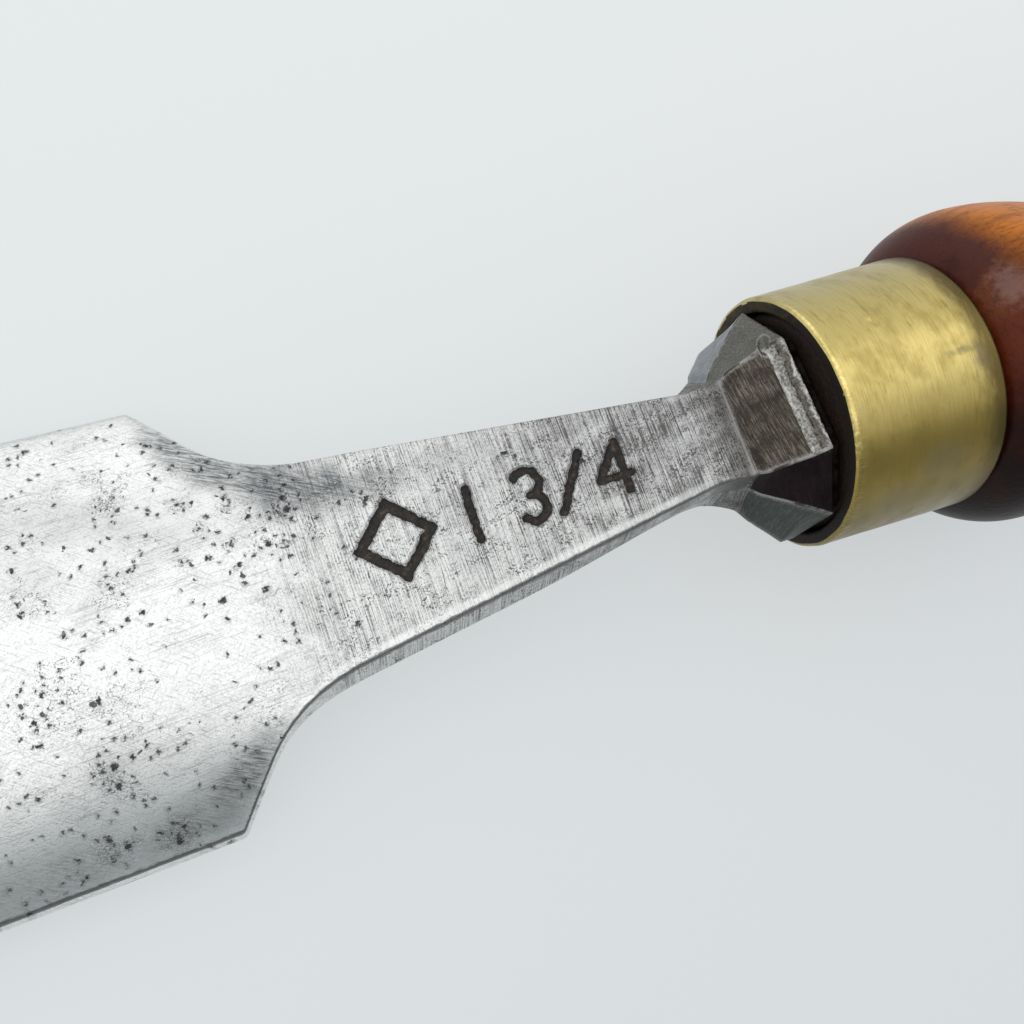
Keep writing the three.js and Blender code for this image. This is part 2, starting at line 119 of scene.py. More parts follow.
class ForgingSizes(bpy.types.PropertyGroup):
    """Sizes of the steel forging: blade, neck, bolster and tang."""

    blade_length: length("Blade length", 112, "Shoulders to cutting edge")
    shoulder_width: length("Shoulder width", 41, "Width at the shoulders")
    edge_width: length("Edge width", 44.5, "Width of the cutting edge")
    back_radius: length("Back radius", 36, "Radius of the arched back")
    blade_thickness: length("Blade thickness", 3.6, "Thickness at the crest")
    side_thickness: length("Side thickness", 2.5, "Thickness at the sides")
    back_chamfer: length("Back chamfer", 0.55, "Ground corner of the back")
    hollow_chamfer: length("Hollow chamfer", 0.3, "Ground corner of the hollow")
    edge_thickness: length("Edge thickness", 0.2, "Thickness of the cutting edge")
    bevel_angle: angle("Bevel angle", 25, "Angle of the cutting bevel")
    shoulder_distance: length("Shoulder distance", 59, "Ferrule to shoulders")
    shoulder_angle: angle("Shoulder angle", 52, "Turn of the shoulders")
    shoulder_fillet: length("Shoulder fillet", 15, "Radius from neck to shoulder")
    shoulder_corner: length("Shoulder corner", 0.8, "Radius of the blade's corner")
    neck_width: length("Neck width", 9.2, "Width of the neck's narrowest flat")
    neck_taper: angle("Neck taper", 8, "Widening of each side of the neck")
    neck_top: length("Neck top", 4.5, "Height of the neck's flat at the bolster")
    neck_bottom: length("Neck bottom", 4.3, "Depth of the neck at the bolster")
    neck_flat: length("Neck flat", 39, "Length of the sloping flat")
    back_drop: length("Back drop", 6.1, "Fall of the flat along its length")
    arch_start: share("Arch start", 0.8, "Share of the flat before it arches")
    side_draft: length("Side draft", 0.4, "Spread of the neck's drafted side")
    left_draft_growth: length("Left draft growth", 0.72, "More draft on the left side")
    left_draft_run: length("Left draft run", 20, "Length over which the left draft grows")
    draft_depth: length("Draft depth", 2.8, "Depth of the neck's drafted side")
    flare_length: length("Flare length", 3.2, "Length of the flare at the bolster")
    flare_width: length("Flare width", 0.3, "Widening of the flat at the bolster")
    side_flare: length("Side flare", 1.45, "Widening of the side at the bolster")
    side_flare_length: length("Side flare length", 6, "Length of the side's flare")
    bolster_length: length("Bolster length", 6.7, "Ferrule to the neck's end")
    land_length: length("Land length", 1.6, "Length of the bolster's bright land")
    rim_depth: length("Rim depth", 0.4, "Bolster's rim in front of its seat")
    bolster_width: length("Bolster width", 21.6, "Width over the side facets")
    bolster_height: length("Bolster height", 17.2, "Height over the flats")
    top_facet: length("Top facet", 11.2, "Width of the top facet")
    side_facet: length("Side facet", 8.2, "Height of the side facets")
    land_rise: length("Land rise", 1.1, "Rise of the land to the rim")
    bolster_roll: angle("Bolster roll", 4, "How far the facets are out of square")
    facet_hollow: length("Facet hollow", 0.1, "Hollow filed into each facet")
    cove_depth: length("Cove depth", 0.16, "Depth of the cove behind the neck")
    tang_length: length("Tang length", 66, "Length inside the handle")
    tang_root: length("Tang root", 7.2, "Width of the tang at the bolster")
    tang_tip: length("Tang tip", 2.6, "Width of the tang at its end")
    tang_chamfer: length("Tang chamfer", 0.4, "Corner taken off the tang")
    worn_edge: length("Worn edge", 0.1, "Round worn on the blade's and neck's edges")
    bolster_wear: length("Bolster wear", 0.17, "Round worn on the bolster's edges")
    fit_gap: length("Fit gap", 0.3, "Gap to the handle and ferrule")


class MarkSizes(bpy.types.PropertyGroup):
    """Sizes of the struck size mark and the plain lozenge on the neck."""

    depth: length("Mark depth", 0.35, "Depth of the struck marks")
    stroke: length("Stroke", 1.05, "Width of a struck line")
    wall: length("Wall", 0.3, "Width of the sloping wall of a struck line")
    figure_height: length("Figure height", 4.8, "Height of the figures")
    figure_width: length("Figure width", 3, "Width of the figures")
    figure_gap: length("Figure gap", 1.5, "Space between the figures")
    figure_place: length("Figure place", 25, "Ferrule to the figures' middle")
    lozenge_length: length("Lozenge length", 8.4, "Length and width of the lozenge")
    lozenge_rim: length("Lozenge rim", 1.7, "Width of the lozenge's sunk rim")
    lozenge_place: length("Lozenge place", 39.3, "Ferrule to the lozenge's middle")


class FerruleSizes(bpy.types.PropertyGroup):
    """Sizes of the brass ferrule."""

    length: length("Ferrule length", 16.3, "Length of the tube")
    front: length("Front diameter", 25.4, "Outside diameter at the front")
    back: length("Back diameter", 26.2, "Outside diameter at the back")
    wall: length("Wall", 1.5, "Thickness of the tube")
    lip: length("Lip", 0.5, "Round of the front outer edge")
    edge: length("Edge", 0.15, "Round of the other edges")
    dent: length("Dent depth", 0.16, "Depth of the prick-punch dent")


class HandleSizes(bpy.types.PropertyGroup):
    """Sizes of the turned handle."""

    recess: length("Recess", 0.6, "Depth of the wood behind the ferrule's face")
    bulb: length("Bulb diameter", 33.2, "Largest diameter behind the ferrule")
    bulb_root: length("Bulb root", 22.2, "Diameter where the bulb starts")
    bulb_run: length("Bulb run", 7.1, "Length of the bulb's front round")
    waist: length("Waist diameter", 24.4, "Smallest diameter of the handle")
    waist_place: length("Waist place", 47, "Ferrule's front to the waist")
    barrel: length("Barrel diameter", 31.6, "Diameter of the barrel")
    barrel_place: length("Barrel place", 112, "Ferrule's front to the barrel")
    end_place: length("End place", 143, "Ferrule's front to the butt")
    butt_flat: length("Butt flat", 10, "Diameter of the flat on the butt")
    nose_chamfer: length("Nose chamfer", 0.4, "Corner taken off the nose")
    wear: length("Wear", 0.06, "Unevenness worn into the wood")


class StageSizes(bpy.types.PropertyGroup):
    """Sizes and light of the studio."""

    floor_radius: length("Floor radius", 3000, "Radius of the pale floor")
    overhead_size: length("Overhead size", 1100, "Side of the overhead soft lamp")
    window_size: length("Window size", 500, "Side of the soft lamp beside the tool")
    rear_size: length("Rear size", 450, "Side of the soft lamp behind the handle")
    card_width: length("Card width", 1100, "Width of the grey card")
    card_height: length("Card height", 390, "Height of the grey card")
    overhead_power: power("Overhead power", 2.3, "Power of the overhead soft lamp")
    window_power: power("Window power", 0.5, "Power of the soft lamp beside the tool")
    rear_power: power("Rear power", 0.42, "Power of the soft lamp behind the handle")
    world_strength: share("World strength", 0.82, "Strength of the even light all round")
    floor_share: share("Floor share", 0.66, "How much of the floor is seen in its own colour")


class GougeFinish(bpy.types.PropertyGroup):
    """Colours of the finishes."""

    steel: colour("Steel", "E8E9E7", "Freshly ground steel")
    scratch: colour("Scratch", "5E5D5C", "Bottom of a grinding scratch")
    haze: colour("Haze", "5F6265", "Steel that has dulled")
    pit: colour("Pit", "211F1E", "Bottom of a rust pit")
    worn: colour("Worn edge", "8F8E8A", "Steel rubbed bare on an edge")
    scale: colour("Forge scale", "352E28", "Brown forge scale, filed over")
    # The dark, grey and dull scales also carry the facets' painted shade and light: the dark and
    # dull ones darkened, the grey one paled
    dark_scale: colour("Dark scale", "170E10", "Purple-black forge scale")
    grey_scale: colour("Grey scale", "7D8086", "Blue-grey forge scale, worn")
    olive_scale: colour("Olive scale", "5F5E59", "Olive-grey forge scale")
    dull_scale: colour("Dull scale", "3D413F", "Dark grey forge scale")
    oxide: colour("Oxide", "25211E", "Oxide in the struck marks")
    brass: colour("Brass", "D8C47C", "Bright brass")
    tarnish: colour("Tarnish", "8E7838", "Brown tarnish on brass")
    black_brass: colour("Blackened brass", "1E1810", "Old wax and oxide")
    heartwood: colour("Heartwood", "5A2410", "Red-black heartwood")
    sapwood: colour("Sapwood", "BC6E22", "Orange wood under shellac")
    dusky_wood: colour("Dusky wood", "47211A", "Purple-brown wood by the ferrule")
    grain: colour("Grain", "160806", "Dark pores of the wood")
    floor: colour("Floor", "E5E9EA", "Pale floor")
    # The floor in front of the tool is painted darker, as shade
    floor_near_shade: colour("Near floor", "D8DCDE", "Pale floor in front of the tool")
    sky: colour("Sky", "F8FAFB", "Light all round")
    card: colour("Card", "A6ABAE", "Grey card")


# A section's eight runs go from its top, left to right, down its right side, along
# its bottom and up its left side. These are their numbers of steps.
RUN_STEPS = (96, 26, 5, 5, 24, 5, 5, 8)
TOP_RUN, BOTTOM_RUN, LEFT_FACET = 0, 4, 7
WORN_CORNER = -1
# The largest share of an edge that its worn corners take
ROUND_LIMIT = 0.3
# Numbers of steps along the rounds and round the axis
FILLET_STEPS = 24
CORNER_STEPS = 8
FERRULE_TURNS = 320
HANDLE_TURNS = 256
LIP_STEPS = 6
PROFILE_STEPS = 36
BOARD_SIDES = 96

MERGE_DISTANCE = mm(0.0005)
SHARP_ANGLE = math.radians(48)
# The neck's sides are kept this high, so that their worn corners don't meet
LEAST_SIDE = mm(0.3)
# The neck's right side is tucked in low down, more and more along this stretch
TUCK = mm(0.2)
TUCK_STRETCH = (mm(30), mm(40))
# From the neck's last section to the bolster
NECK_STEP = mm(0.2)
# The stretches of sections between the bevel and the bolster: where each ends, counted
# from the ferrule, and how far apart its sections are, both in millimetres. They are
# close at the shoulders' corners and at the struck marks.
STATION_SPACINGS = (
    (104, 2.0),
    (60.6, 0.55),
    (57.4, 0.16),
    (44.2, 0.3),
    (34.4, 0.14),
    (33.4, 0.3),
    (16.4, 0.14),
)
BEVEL_SPACING = mm(1.1)
NECK_END_SPACING = mm(0.3)
# How far apart the rings of the turned pieces are
FACE_SPACING, TUBE_SPACING, BORE_SPACING = mm(0.2), mm(0.22), mm(2)
NOSE_SPACING, HIDDEN_SPACING, WOOD_SPACING, BUTT_SPACING = mm(0.8), mm(3), mm(1.1), mm(1.7)
# The cutting edge is less worn than the sides, and the waves end before it
KEEN_ROUND = mm(0.03)
KEEN_STRETCH = (mm(150), mm(165))
WAVY_END = mm(160)
# The struck marks lie on this stretch of the neck
MARKED_STRETCH = (mm(14), mm(46))
# A painted highlight runs along the back's left edge this far in from it, more and more along this
# stretch
LEFT_GLINT = mm(0.5)
LEFT_GLINT_STRETCH = (mm(6), mm(16))
# How far to each side the painted highlight reaches, how much it varies, and the size and
# seed of its bumps
LEFT_GLINT_REACH = (mm(0.1), mm(0.6))
LEFT_GLINT_SHARE, LEFT_GLINT_SIZE, LEFT_GLINT_SEED = 0.35, mm(1.5), 8.0

# Unevenness of each kind, a sum of waves: their height and size in millimetres, their seed
GROUND_WAVES = ((0.035, 5.0, 0.0), (0.015, 1.4, 5.0))
STRUCK_WAVES = ((0.16, 0.7, 0.0), (0.06, 0.25, 3.0))
FILED_WAVES = ((0.04, 1.6, 2.0), (0.02, 0.5, 9.0))
LAND_WAVES = ((0.05, 0.35, 1.0),)
TUBE_WAVES = ((0.03, 6.0, 0.0), (0.012, 1.5, 4.0))
LIP_WAVES = ((0.07, 2.2, 8.0),)
GROOVE_WAVES = ((0.2, 2.0, 4.0),)
# These two push the places of haze and pits about, so that the patches aren't regular.
ALONG_WAVES = ((0.7, 2.0, 11.0),)
ACROSS_WAVES = ((0.7, 2.0, 13.0),)


def lerp(first, second, amount):
    """The value that lies the given share of the way from first to second."""
    return first + (second - first) * amount


def clamp(value, low=0.0, high=1.0):
    """The value, kept between low and high."""
    return min(max(value, low), high)


def ease(value, start, end):
    """A smooth rise from 0 to 1 while value goes from start to end."""
    amount = clamp((value - start) / (end - start))
    return amount * amount * (3 - 2 * amount)


def arc_drop(curvature, y):
    """Height lost on an arc of the given curvature at half-width y."""
    turn = curvature * y
    return turn * y / (1 + math.sqrt(max(0.0, 1 - turn * turn)))


def rough(point, size, seed=0.0):
    """Smooth unevenness from -1 to 1 with bumps of the given size."""
    return noise.noise(Vector(point) / size + Vector((seed, seed, seed)))


def uneven(point, waves):
    """How far waves lift or push a point."""
    return sum(mm(height) * rough(point, mm(size), seed) for height, size, seed in waves)


def tip_distance(s):
    """Distance from the ferrule to the cutting edge."""
    return s.shoulder_distance + s.blade_length


def outline_points(s):
    """Half outline of neck and shoulder, as distances and half-widths."""
    taper, shoulder = s.neck_taper, s.shoulder_angle
    radius, corner = s.shoulder_fillet, s.shoulder_corner
    half = s.shoulder_width / 2
    run = radius * (math.sin(shoulder) - math.sin(taper))
    rise = radius * (math.cos(taper) - math.cos(shoulder))
    slope, steep = math.tan(taper), math.tan(shoulder)
    start = s.bolster_length + s.flare_length
    climb = half - s.neck_width / 2 - rise - steep * (s.shoulder_distance - run)
    fillet_start = (climb + slope * start) / (slope - steep)
    fillet_width = s.neck_width / 2 + slope * (fillet_start - start)
    points = [(start, s.neck_width / 2)]
    for step in range(FILLET_STEPS + 1):
        turn = lerp(taper, shoulder, step / FILLET_STEPS)
        along = fillet_start + radius * (math.sin(turn) - math.sin(taper))
        points.append((along, fillet_width + radius * (math.cos(taper) - math.cos(turn))))
    flare = math.atan((s.edge_width - s.shoulder_width) / 2 / s.blade_length)
    set_back = corner * math.tan((shoulder - flare) / 2)
    centre_along = s.shoulder_distance - set_back * math.cos(shoulder) + corner * math.sin(shoulder)
    centre_width = half - set_back * math.sin(shoulder) - corner * math.cos(shoulder)
    for step in range(CORNER_STEPS + 1):
        turn = lerp(shoulder, flare, step / CORNER_STEPS)
        points.append(
            (centre_along - corner * math.sin(turn), centre_width + corner * math.cos(turn))
        )
    points.append((tip_distance(s), s.edge_width / 2))
    return points


def back_half_width(s, points, u):
    """Half-width of the back at distance u before the ferrule."""
    first_along, first_width = points[0]
    if u <= first_along:
        near = clamp((first_along - u) / s.flare_length)
        return first_width + s.flare_width * near * near
    for (along, width), (next_along, next_width) in zip(points, points[1:]):
        if next_along >= u:
            return lerp(width, next_width, (u - along) / (next_along - along))
    return points[-1][1]


def steel_section(s, points, u):
    """One cross-section of the neck or blade at distance u before the ferrule."""
    neck_end = s.bolster_length + s.neck_flat
    tip = tip_distance(s)
    bevel_length = s.blade_thickness / math.tan(s.bevel_angle)
    blend = ease(u, s.bolster_length + s.neck_flat * s.arch_start, s.shoulder_distance)
    chamfer = ease(u, neck_end, s.shoulder_distance)
    along = clamp((u - s.bolster_length) / s.neck_flat)
    crest = s.neck_top - s.back_drop * along
    curvature = blend / s.back_radius
    half = back_half_width(s, points, u)
    thin = lerp(s.neck_top + s.neck_bottom, s.blade_thickness, along)
    side_thick = lerp(thin, s.side_thickness, blend)
    bottom_half = half + lerp(s.side_draft / 2, -s.hollow_chamfer, chamfer)
    edge = crest - arc_drop(curvature, half)
    bottom_edge = edge - side_thick
    bottom_crest = crest - thin
    drop = bottom_crest - bottom_edge
    bottom_curvature = 2 * drop / (bottom_half * bottom_half + drop * drop)
    bevel = clamp((u - (tip - bevel_length)) / bevel_length)
    draft = lerp(s.side_draft, s.back_chamfer, chamfer)
    depth = lerp(s.draft_depth, s.back_chamfer, chamfer)
    low_rise = lerp(s.draft_depth, s.hollow_chamfer, chamfer)
    side = half + draft * (1 - chamfer)
    neck_start = s.bolster_length + s.flare_length
    growth = s.left_draft_growth * ease(u, neck_start, neck_start + s.left_draft_run)
    left_side = side + growth * (1 - chamfer) ** 2
    flare = clamp((s.bolster_length + s.side_flare_length - u) / s.side_flare_length)
    spread = s.side_flare * flare * flare
    upper_height = lerp(edge - depth, bottom_edge + s.edge_thickness, bevel)
    lower_height = bottom_edge + lerp(low_rise, s.edge_thickness / 2, bevel)
    if bevel == 0:
        lower_height = min(lower_height, upper_height - LEAST_SIDE)
    tuck = TUCK * ease(u, *TUCK_STRETCH) * (1 - chamfer)

    def top(y):
        full = crest - arc_drop(curvature, y)
        hollow = bottom_crest - arc_drop(bottom_curvature, min(abs(y), bottom_half))
        return lerp(full, hollow + s.edge_thickness, bevel)

    return SimpleNamespace(
        top_half=half - draft * chamfer,
        top=top,
        right=((side, upper_height), (side + spread - tuck, lower_height)),
        left=((-left_side - spread, lower_height), (-left_side, upper_height)),
        bottom_half=bottom_half,
        bottom=lambda y: bottom_crest - arc_drop(bottom_curvature, y),
    )


def octagon(top_half, top, side, side_height, inset=0.0):
    """An eight-sided section, for the bolster and the tang."""
    return SimpleNamespace(
        top_half=top_half,
        top=lambda y: top,
        right=((side - inset, side_height), (side, -side_height)),
        left=((-side, -side_height), (inset - side, side_height)),
        bottom_half=top_half,
        bottom=lambda y: -top,
    )


def bolster_section(s, factor, fall):
    """The rim's outline, shrunk by a factor, its upper facets drawn in by a fall."""
    return octagon(
        s.top_facet / 2 * factor,
        s.bolster_height / 2 * factor - fall,
        s.bolster_width / 2 * factor,
        s.side_facet / 2 * factor,
        fall,
    )


def tang_section(s, width):
    """A square section with its corners taken off."""
    return octagon(width / 2 - s.tang_chamfer, width / 2, width / 2, width / 2 - s.tang_chamfer)


def section_ring(section, x, worn, roll=0.0):
    """The points round a section, its eight corners worn round."""
    half, low = section.top_half, section.bottom_half
    corners = [
        (-half, section.top(-half)),
        (half, section.top(half)),
        *section.right,
        (low, section.bottom(low)),
        (-low, section.bottom(-low)),
        *section.left,
    ]
    runs = []
    for index, steps in enumerate(RUN_STEPS):
        start, end = Vector(corners[index]), Vector(corners[(index + 1) % len(corners)])
        cut = min(worn / max((end - start).length, worn), ROUND_LIMIT)
        run = [start.lerp(end, lerp(cut, 1 - cut, step / steps)) for step in range(steps + 1)]
        if index == TOP_RUN:
            run = [Vector((y, section.top(y))) for y, _ in run]
        if index == BOTTOM_RUN:
            run = [Vector((y, section.bottom(y))) for y, _ in run]
        runs.append(run)
    ring = []
    for index, run in enumerate(runs):
        corner = Vector(corners[index])
        ring.append(corner / 2 + (runs[index - 1][-1] + run[0]) / 4)
        ring.extend(run)
    cos, sin = math.cos(roll), math.sin(roll)
    return [Vector((x, y * cos - z * sin, y * sin + z * cos)) for y, z in ring]


def ring_places():
    """For each point of a ring, its run and how far along that it lies, from 0 to 1."""
    places = []
    for index, steps in enumerate(RUN_STEPS):
        places.append((index, 0.0))
        places.extend((index, step / steps) for step in range(steps + 1))
    return places


def column_runs():
    """For each column of faces, the run it belongs to, or -1 on a worn corner."""
    runs = []
    for index, steps in enumerate(RUN_STEPS):
        runs.append(WORN_CORNER)
        runs.extend([index] * steps)
        runs.append(WORN_CORNER)
    return runs


def blend_rings(first, second, amount):
    """A ring that lies between two others."""
    return [a.lerp(b, amount) for a, b in zip(first, second)]


def worn_path(keys, worn, spacings):
    """Rings through key rings, with the corners at the keys between worn round.

    Each item is a ring, the number of its key and how far it is to the next."""
    rings = [(keys[0], 0, 0.0)]
    for index, (first, second) in enumerate(zip(keys, keys[1:])):
        gap = sum((a - b).length for a, b in zip(first, second)) / len(first)
        cut = min(worn / gap, ROUND_LIMIT)
        start = cut if index else 0.0
        end = 1 - cut if index + 2 < len(keys) else 1.0
        steps = max(1, math.ceil(gap * (end - start) / spacings[index]))
        first_step = 0 if index else 1
        for step in range(first_step, steps + 1):
            amount = lerp(start, end, step / steps)
            rings.append((blend_rings(first, second, amount), index, amount))
        if index + 2 < len(keys):
            after = keys[index + 2]
            next_gap = sum((a - b).length for a, b in zip(second, after)) / len(first)
            next_cut = min(worn / next_gap, ROUND_LIMIT)
            before = blend_rings(first, second, 1 - cut)
            behind = blend_rings(second, after, next_cut)
            middle = blend_rings(blend_rings(before, behind, 0.5), second, 0.5)
            rings.append((middle, index + 1, 0.0))
    return rings


def ground_stations(s):
    """Distances before the ferrule of the sections, from cutting edge to bolster."""
    start = tip_distance(s)
    spans = [(start - s.blade_thickness / math.tan(s.bevel_angle), BEVEL_SPACING)]
    spans += [(mm(end), mm(spacing)) for end, spacing in STATION_SPACINGS]
    spans.append((s.bolster_length + NECK_STEP, NECK_END_SPACING))
    stations = []
    for end, spacing in spans:
        steps = math.ceil((start - end) / spacing)
        stations += [lerp(start, end, step / steps) for step in range(steps)]
        start = end
    return [*stations, start]


def stroke_distance(point, start, end):
    """Distance from a point to a straight stroke."""
    line = end - start
    amount = clamp((point - start).dot(line) / line.length_squared)
    return (point - start - line * amount).length


def bow_distance(point, centre, radius, start, sweep):
    """Distance from a point to part of a circle."""
    offset = point - centre
    turn = (math.atan2(offset.y, offset.x) - start) % math.tau
    if turn <= sweep:
        return abs(offset.length - radius)
    ends = (start, start + sweep)
    tips = [centre + radius * Vector((math.cos(a), math.sin(a))) for a in ends]
    return min((point - tip).length for tip in tips)


def figure_distance(marks, name, point):
    """Distance from a point to the nearest stroke of a figure."""
    width, height = marks.figure_width, marks.figure_height
    if name == "1":
        return stroke_distance(point, Vector((width / 2, 0)), Vector((width / 2, height)))
    if name == "/":
        return stroke_distance(point, Vector((0, 0)), Vector((width, height)))
    if name == "3":
        bow = height / 4
        low_start, high_start, sweep = -0.8 * math.pi, -math.pi / 2, 1.3 * math.pi
        low = bow_distance(point, Vector((width / 2, bow)), bow, low_start, sweep)
        high = bow_distance(point, Vector((width / 2, 3 * bow)), bow, high_start, sweep)
        return min(low, high)
    stem, bar = width * 0.8, height * 0.33
    return min(
        stroke_distance(point, Vector((stem, 0)), Vector((stem, height))),
        stroke_distance(point, Vector((0, bar)), Vector((width, bar))),
        stroke_distance(point, Vector((0, bar)), Vector((stem, height))),
    )


# The struck size, with how far each figure is moved along to set off the fraction
FIGURES = (("1", mm(-0.5)), ("3", mm(0.5)), ("/", 0.0), ("4", mm(-0.4)))
# The burr round a struck line: its height, and how far out it is highest and ends
MARK_BURR = mm(0.03)
BURR_CREST, BURR_END = mm(0.12), mm(0.5)
# Where the wall of a struck line ends, outside the line
WALL_END = mm(0.05)
# How far round a struck line the steel is bruised
BRUISE_REACH = mm(1.6)
# How much the depth of a struck line varies, and the size and seed of its bumps
BOTTOM_SHARE, BOTTOM_SIZE, BOTTOM_SEED = 0.3, mm(0.5), 7.0


def mark_distance(s, marks, u, y):
    """How far a place on the neck's flat lies outside the struck marks.

    It is negative inside them."""
    stretch = math.hypot(1, s.back_drop / s.neck_flat)
    reach = marks.figure_height
    best = reach
    along = (marks.figure_place - u) * stretch
    pitch = marks.figure_width + marks.figure_gap
    start = -(len(FIGURES) * pitch - marks.figure_gap) / 2
    if abs(along) < -start + reach / 2:
        for index, (name, shift) in enumerate(FIGURES):
            place = Vector((along - start - index * pitch - shift, y + marks.figure_height / 2))
            best = min(best, figure_distance(marks, name, place) - marks.stroke / 2)
    along = abs(marks.lozenge_place - u) * stretch
    if along < marks.lozenge_length:
        outer = (along + abs(y) - marks.lozenge_length / 2) / math.sqrt(2)
        inner = (along + abs(y) - marks.lozenge_length / 2 + marks.lozenge_rim) / math.sqrt(2)
        best = min(best, max(outer, -inner))
    return best


def mark_fall(s, marks, u, y):
    """How deep the struck marks go at a place, and how near it is to them."""
    outside = mark_distance(s, marks, u, y) + uneven((u, y, 0), STRUCK_WAVES)
    sunk = 1 - ease(outside, -marks.wall, WALL_END)
    burr = ease(outside, 0, BURR_CREST) * (1 - ease(outside, BURR_CREST, BURR_END))
    bottom = 1 + BOTTOM_SHARE * rough((u, y, 0), BOTTOM_SIZE, BOTTOM_SEED)
    depth = marks.depth * sunk * bottom - MARK_BURR * burr
    return depth, sunk, 1 - ease(outside, 0, BRUISE_REACH)


# Patches of dull haze, partly old rust haze and mostly painted shade where the blade turns
# away from the light along the upper fillet and the lower edge: distance from the ferrule,
# place across the blade, half length and half width in millimetres, turn in degrees, strength
SHADE_AND_HAZE_PATCHES = (
    (56.0, 15.2, 5.8, 3.0, -58, 0.8),
    (53.0, 11.6, 6.5, 3.4, -42, 0.85),
    (49.0, 8.8, 6.5, 3.4, -38, 0.9),
    (45.0, 6.9, 6.0, 3.2, -25, 0.9),
    (40.5, 5.8, 6.0, 2.4, -10, 0.65),
    (33.0, 5.9, 7.0, 2.0, -8, 0.25),
    (57.2, -15.0, 7.5, 2.7, 30, 0.8),
    (63.0, -17.6, 8.0, 3.0, 10, 0.5),
    (74.0, -18.5, 14.0, 4.0, 0, 0.35),
)
# Places where pits crowd, given the same way
PIT_CLUSTERS = (
    (62.3, 10.8, 2.3, 1.7, 0, 1.0),
    (63.0, 14.0, 1.8, 1.3, 0, 0.75),
    (63.6, 17.7, 2.2, 0.9, 10, 0.6),
    (65.7, 13.0, 1.6, 1.1, -60, 0.55),
    (56.3, 8.8, 1.8, 1.3, 0, 0.85),
    (52.6, 7.5, 1.3, 1.0, 0, 0.8),
    (55.1, 6.3, 1.2, 0.8, 60, 0.85),
    (53.2, 4.0, 1.2, 0.7, 20, 0.9),
    (47.9, 6.2, 1.9, 1.5, 20, 1.0),
    (48.3, 2.4, 1.2, 0.8, 0, 0.8),
    (53.0, 1.5, 1.3, 0.7, 10, 0.8),
    (57.5, 3.7, 1.7, 0.8, 15, 0.6),
    (63.2, 3.9, 2.4, 1.8, 0, 0.55),
    (69.6, 3.6, 2.8, 1.7, -20, 0.5),
    (71.0, -5.0, 6.5, 5.0, 0, 0.3),
    (67.2, -12.4, 4.2, 2.2, -54, 0.95),
    (64.2, -18.4, 2.7, 2.0, 20, 1.4),
    (67.5, -17.1, 1.4, 1.1, 0, 1.2),
    (69.6, -17.7, 2.9, 1.6, -50, 1.1),
    (41.0, 4.4, 3.5, 1.3, -8, 0.5),
    (28.0, 4.2, 3.0, 1.2, -8, 0.5),
    (20.5, 1.6, 2.6, 1.2, 0, 0.35),
)
# The share of the way to its rim over which a patch has its full strength
PATCH_CORE = 0.15


def patch_share(table, u, y):
    """How strongly a table's soft patches cover a place."""
    best = 0.0
    along = (u + uneven((u, y, 0), ALONG_WAVES)) * PER_METRE
    across = (y + uneven((u, y, 0), ACROSS_WAVES)) * PER_METRE
    for place, middle, half_length, half_width, degrees, strength in table:
        forward, aside = place - along, across - middle
        if max(abs(forward), abs(aside)) > max(half_length, half_width):
            continue
        cos, sin = math.cos(math.radians(degrees)), math.sin(math.radians(degrees))
        reach = (forward * cos + aside * sin) / half_length
        spread = (aside * cos - forward * sin) / half_width
        best = max(best, strength * (1 - ease(math.hypot(reach, spread), PATCH_CORE, 1)))
    return best


# What each point of the forging is marked with, for its material: how deep it is struck,
# how near a struck line, how soiled, how hazy, which is mostly painted shade, how crowded
# with pits, and how rubbed, which is partly wear and partly painted highlight
POINT_MARKS = ("struck", "bruised", "soiled", "hazed", "crowded", "rubbed")

# Node kinds with their settings, named by what they do here
OBJECT_PLACE = ("ShaderNodeTexCoord", {})
NOISE = ("ShaderNodeTexNoise", {})
CELLS = ("ShaderNodeTexVoronoi", {"voronoi_dimensions": "2D"})
PLACING = ("ShaderNodeMapping", {})
PATTERN_PLACING = ("ShaderNodeMapping", {"vector_type": "TEXTURE"})
RANGE = ("ShaderNodeMapRange", {"interpolation_type": "SMOOTHSTEP"})
PRODUCT = ("ShaderNodeMath", {"operation": "MULTIPLY"})
PRODUCT_AND_SUM = ("ShaderNodeMath", {"operation": "MULTIPLY_ADD"})
UNSIGNED = ("ShaderNodeMath", {"operation": "ABSOLUTE"})
HIGHER = ("ShaderNodeMath", {"operation": "MAXIMUM"})
IS_ABOVE = ("ShaderNodeMath", {"operation": "GREATER_THAN"})
REACH = ("ShaderNodeVectorMath", {"operation": "LENGTH"})
PUSH = ("ShaderNodeVectorMath", {"operation": "MULTIPLY_ADD"})
MIX = ("ShaderNodeMix", {})
COLOUR_MIX = ("ShaderNodeMix", {"data_type": "RGBA"})
SPLIT = ("ShaderNodeSeparateXYZ", {})
SPLIT_COLOUR = ("ShaderNodeSeparateColor", {})
ATTRIBUTE = ("ShaderNodeAttribute", {})
FACING = ("ShaderNodeNewGeometry", {})
RAY = ("ShaderNodeLightPath", {})
RELIEF = ("ShaderNodeBump", {})
SHADER = ("ShaderNodeBsdfPrincipled", {})
GLOW = ("ShaderNodeEmission", {})
SHADER_MIX = ("ShaderNodeMixShader", {})
SURFACE = ("ShaderNodeOutputMaterial", {})


def new_material(name):
    """A new material with an empty node tree."""
    material = bpy.data.materials.new(name)
    material.use_nodes = True
    material.node_tree.nodes.clear()
    return material, material.node_tree


